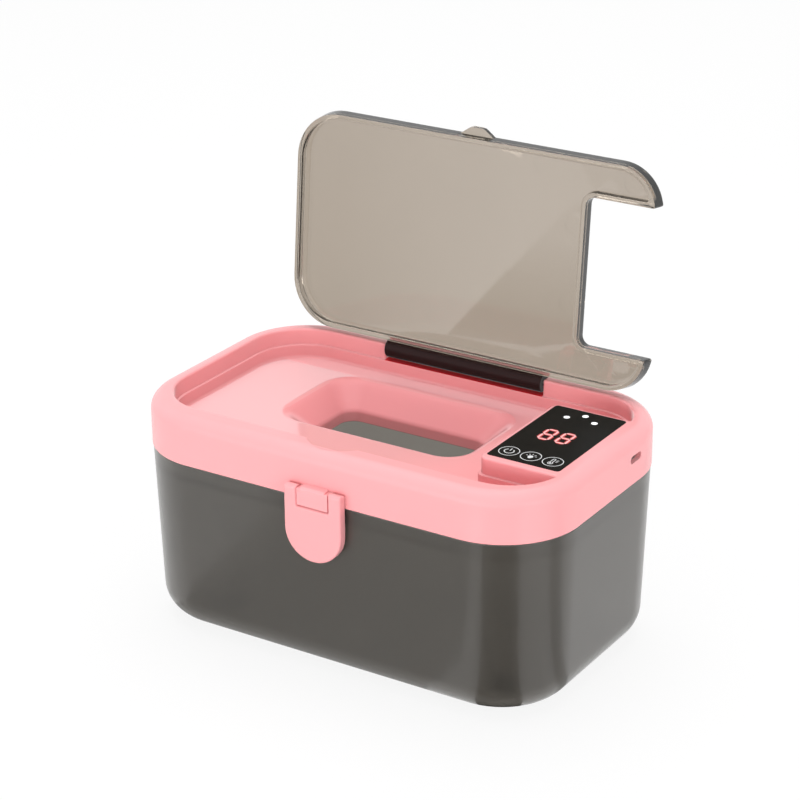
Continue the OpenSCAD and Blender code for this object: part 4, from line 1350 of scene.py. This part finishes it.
def reflected_card(name, points, near, far, fade="flat"):
    """A card on the floor that only gloss shows, as a studio flag, in millimetres.

    near and far are (where, tone): the tone fades along Y, or with the bearing X / Y.
    """
    bm = bmesh.new()
    bm.faces.new(add_ring(bm, points, CARD_Z))
    card = piece(name, bm)
    mat = bpy.data.materials.new(name)
    mat.use_nodes = True
    tree = mat.node_tree
    tree.nodes.remove(tree.nodes["Principled BSDF"])
    place = tree.nodes.new("ShaderNodeTexCoord")
    axes = tree.nodes.new("ShaderNodeSeparateXYZ")
    tree.links.new(place.outputs["Object"], axes.inputs[0])
    where = axes.outputs["Y"]
    if fade == "bearing":
        where = maths(tree, "DIVIDE", axes.outputs["X"], where)
    tone = tree.nodes.new("ShaderNodeMapRange")
    tree.links.new(where, tone.inputs["Value"])
    tone.inputs["From Min"].default_value, tone.inputs["To Min"].default_value = near
    tone.inputs["From Max"].default_value, tone.inputs["To Max"].default_value = far
    shine = tree.nodes.new("ShaderNodeEmission")
    tree.links.new(tone.outputs["Result"], shine.inputs["Color"])
    tree.links.new(shine.outputs["Emission"], tree.nodes["Material Output"].inputs["Surface"])
    dress(card, mat)
    card.visible_camera = False
    card.visible_diffuse = False
    card.visible_transmission = False
    card.visible_volume_scatter = False
    card.visible_shadow = False


CARD_CENTRE = (66, -27)


def sector(start, end, near, far):
    """A slice of floor round the front right corner, between two angles from the front."""
    cx, cy = CARD_CENTRE
    arc = [math.radians(start + (end - start) * k / 12) for k in range(13)]
    inner = [(cx + near * math.sin(a), cy - near * math.cos(a)) for a in arc]
    outer = [(cx + far * math.sin(a), cy - far * math.cos(a)) for a in arc]
    return inner + outer[::-1]


def flat(tone):
    return (-1.0, tone), (0.0, tone)


front_edge = [(-90, -30), (-90, -66), (-95, -125), (-104, -172), (-180, -276)]
lid_edge = [(-257, -381), (-517, -1102), (-1250, -3100)]
reflected_card("front_card", front_edge + [(-10, -420), (40, -170), (45, -66), (45, -30)], *flat(0.5))
reflected_card("corner_card", sector(5, 50, 10, 420), *flat(0.02))
reflected_card("side_card", sector(92, 110, 10, 420), *flat(0.4))
reflected_card("lid_right_card", lid_edge + [(2500, -3100), (2500, -640), (300, -500)],
               (-0.75, 1.3), (-0.46, 0.0))
reflected_card("lid_left_card", [(-520, -300), (-2600, -2400), (-1250, -3100)] + lid_edge[1::-1],
               (0.55, 1.6), (0.88, 0.4), "bearing")


def make_world():
    world = bpy.data.worlds.new("studio")
    bpy.context.scene.world = world
    world.use_nodes = True
    tree = world.node_tree
    back = tree.nodes["Background"]
    seen = seen_rays(tree)
    mix = tree.nodes.new("ShaderNodeMix")
    mix.data_type = "FLOAT"
    mix.inputs["A"].default_value = WORLD_LIGHT
    mix.inputs["B"].default_value = 1.0
    tree.links.new(seen, mix.inputs["Factor"])
    tree.links.new(mix.outputs["Result"], back.inputs["Strength"])
    back.inputs["Color"].default_value = (1, 1, 1, 1)


make_world()


def softbox(name, place, target, size, power):
    light = bpy.data.lights.new(name, "AREA")
    light.shape = "RECTANGLE"
    light.size, light.size_y = size
    light.energy = power
    lamp = bpy.data.objects.new(name, light)
    bpy.context.scene.collection.objects.link(lamp)
    lamp.location = place
    way = Vector(target) - Vector(place)
    lamp.rotation_euler = way.to_track_quat("-Z", "Y").to_euler()
    lamp.visible_glossy = False


softbox("top_light", (-0.2, 0.25, 1.5), (0, 0, 0.08), (1.2, 1.2), 17.0)
softbox("front_light", (-0.35, -1.5, 0.22), (0, 0, 0.09), (1.6, 0.4), 11.0)
softbox("right_light", (1.4, -0.4, 0.3), (0, 0, 0.09), (1.2, 0.5), 7.0)


# The photograph's camera, solved from the box's outline: degrees, millimetres and pixels
AZIMUTH = 32.445
ELEVATION = 23.069
ROLL = -0.377
DISTANCE = 1047.7
TARGET = (0.402, 0, 101.445)
FOCAL_PX = 2524.3
PICTURE_PX = 800


def make_camera():
    azimuth, elevation, roll = (math.radians(a) for a in (AZIMUTH, ELEVATION, ROLL))
    level = math.cos(elevation)
    back = Vector((math.sin(azimuth) * level, -math.cos(azimuth) * level, math.sin(elevation)))
    right = (-back).cross(Vector((0, 0, 1))).normalized()
    up = right.cross(-back)
    x_axis = right * math.cos(roll) + up * math.sin(roll)
    y_axis = -right * math.sin(roll) + up * math.cos(roll)
    turn = Matrix((x_axis, y_axis, back)).transposed().to_4x4()
    data = bpy.data.cameras.new("camera")
    data.sensor_width = 36
    data.sensor_fit = "HORIZONTAL"
    data.lens = FOCAL_PX * data.sensor_width / PICTURE_PX
    data.clip_start = 0.05
    data.clip_end = 50
    camera = bpy.data.objects.new("camera", data)
    bpy.context.scene.collection.objects.link(camera)
    camera.matrix_world = Matrix.Translation((Vector(TARGET) + back * DISTANCE) * MM) @ turn
    bpy.context.scene.camera = camera


make_camera()
bpy.context.scene.view_settings.view_transform = "Standard"
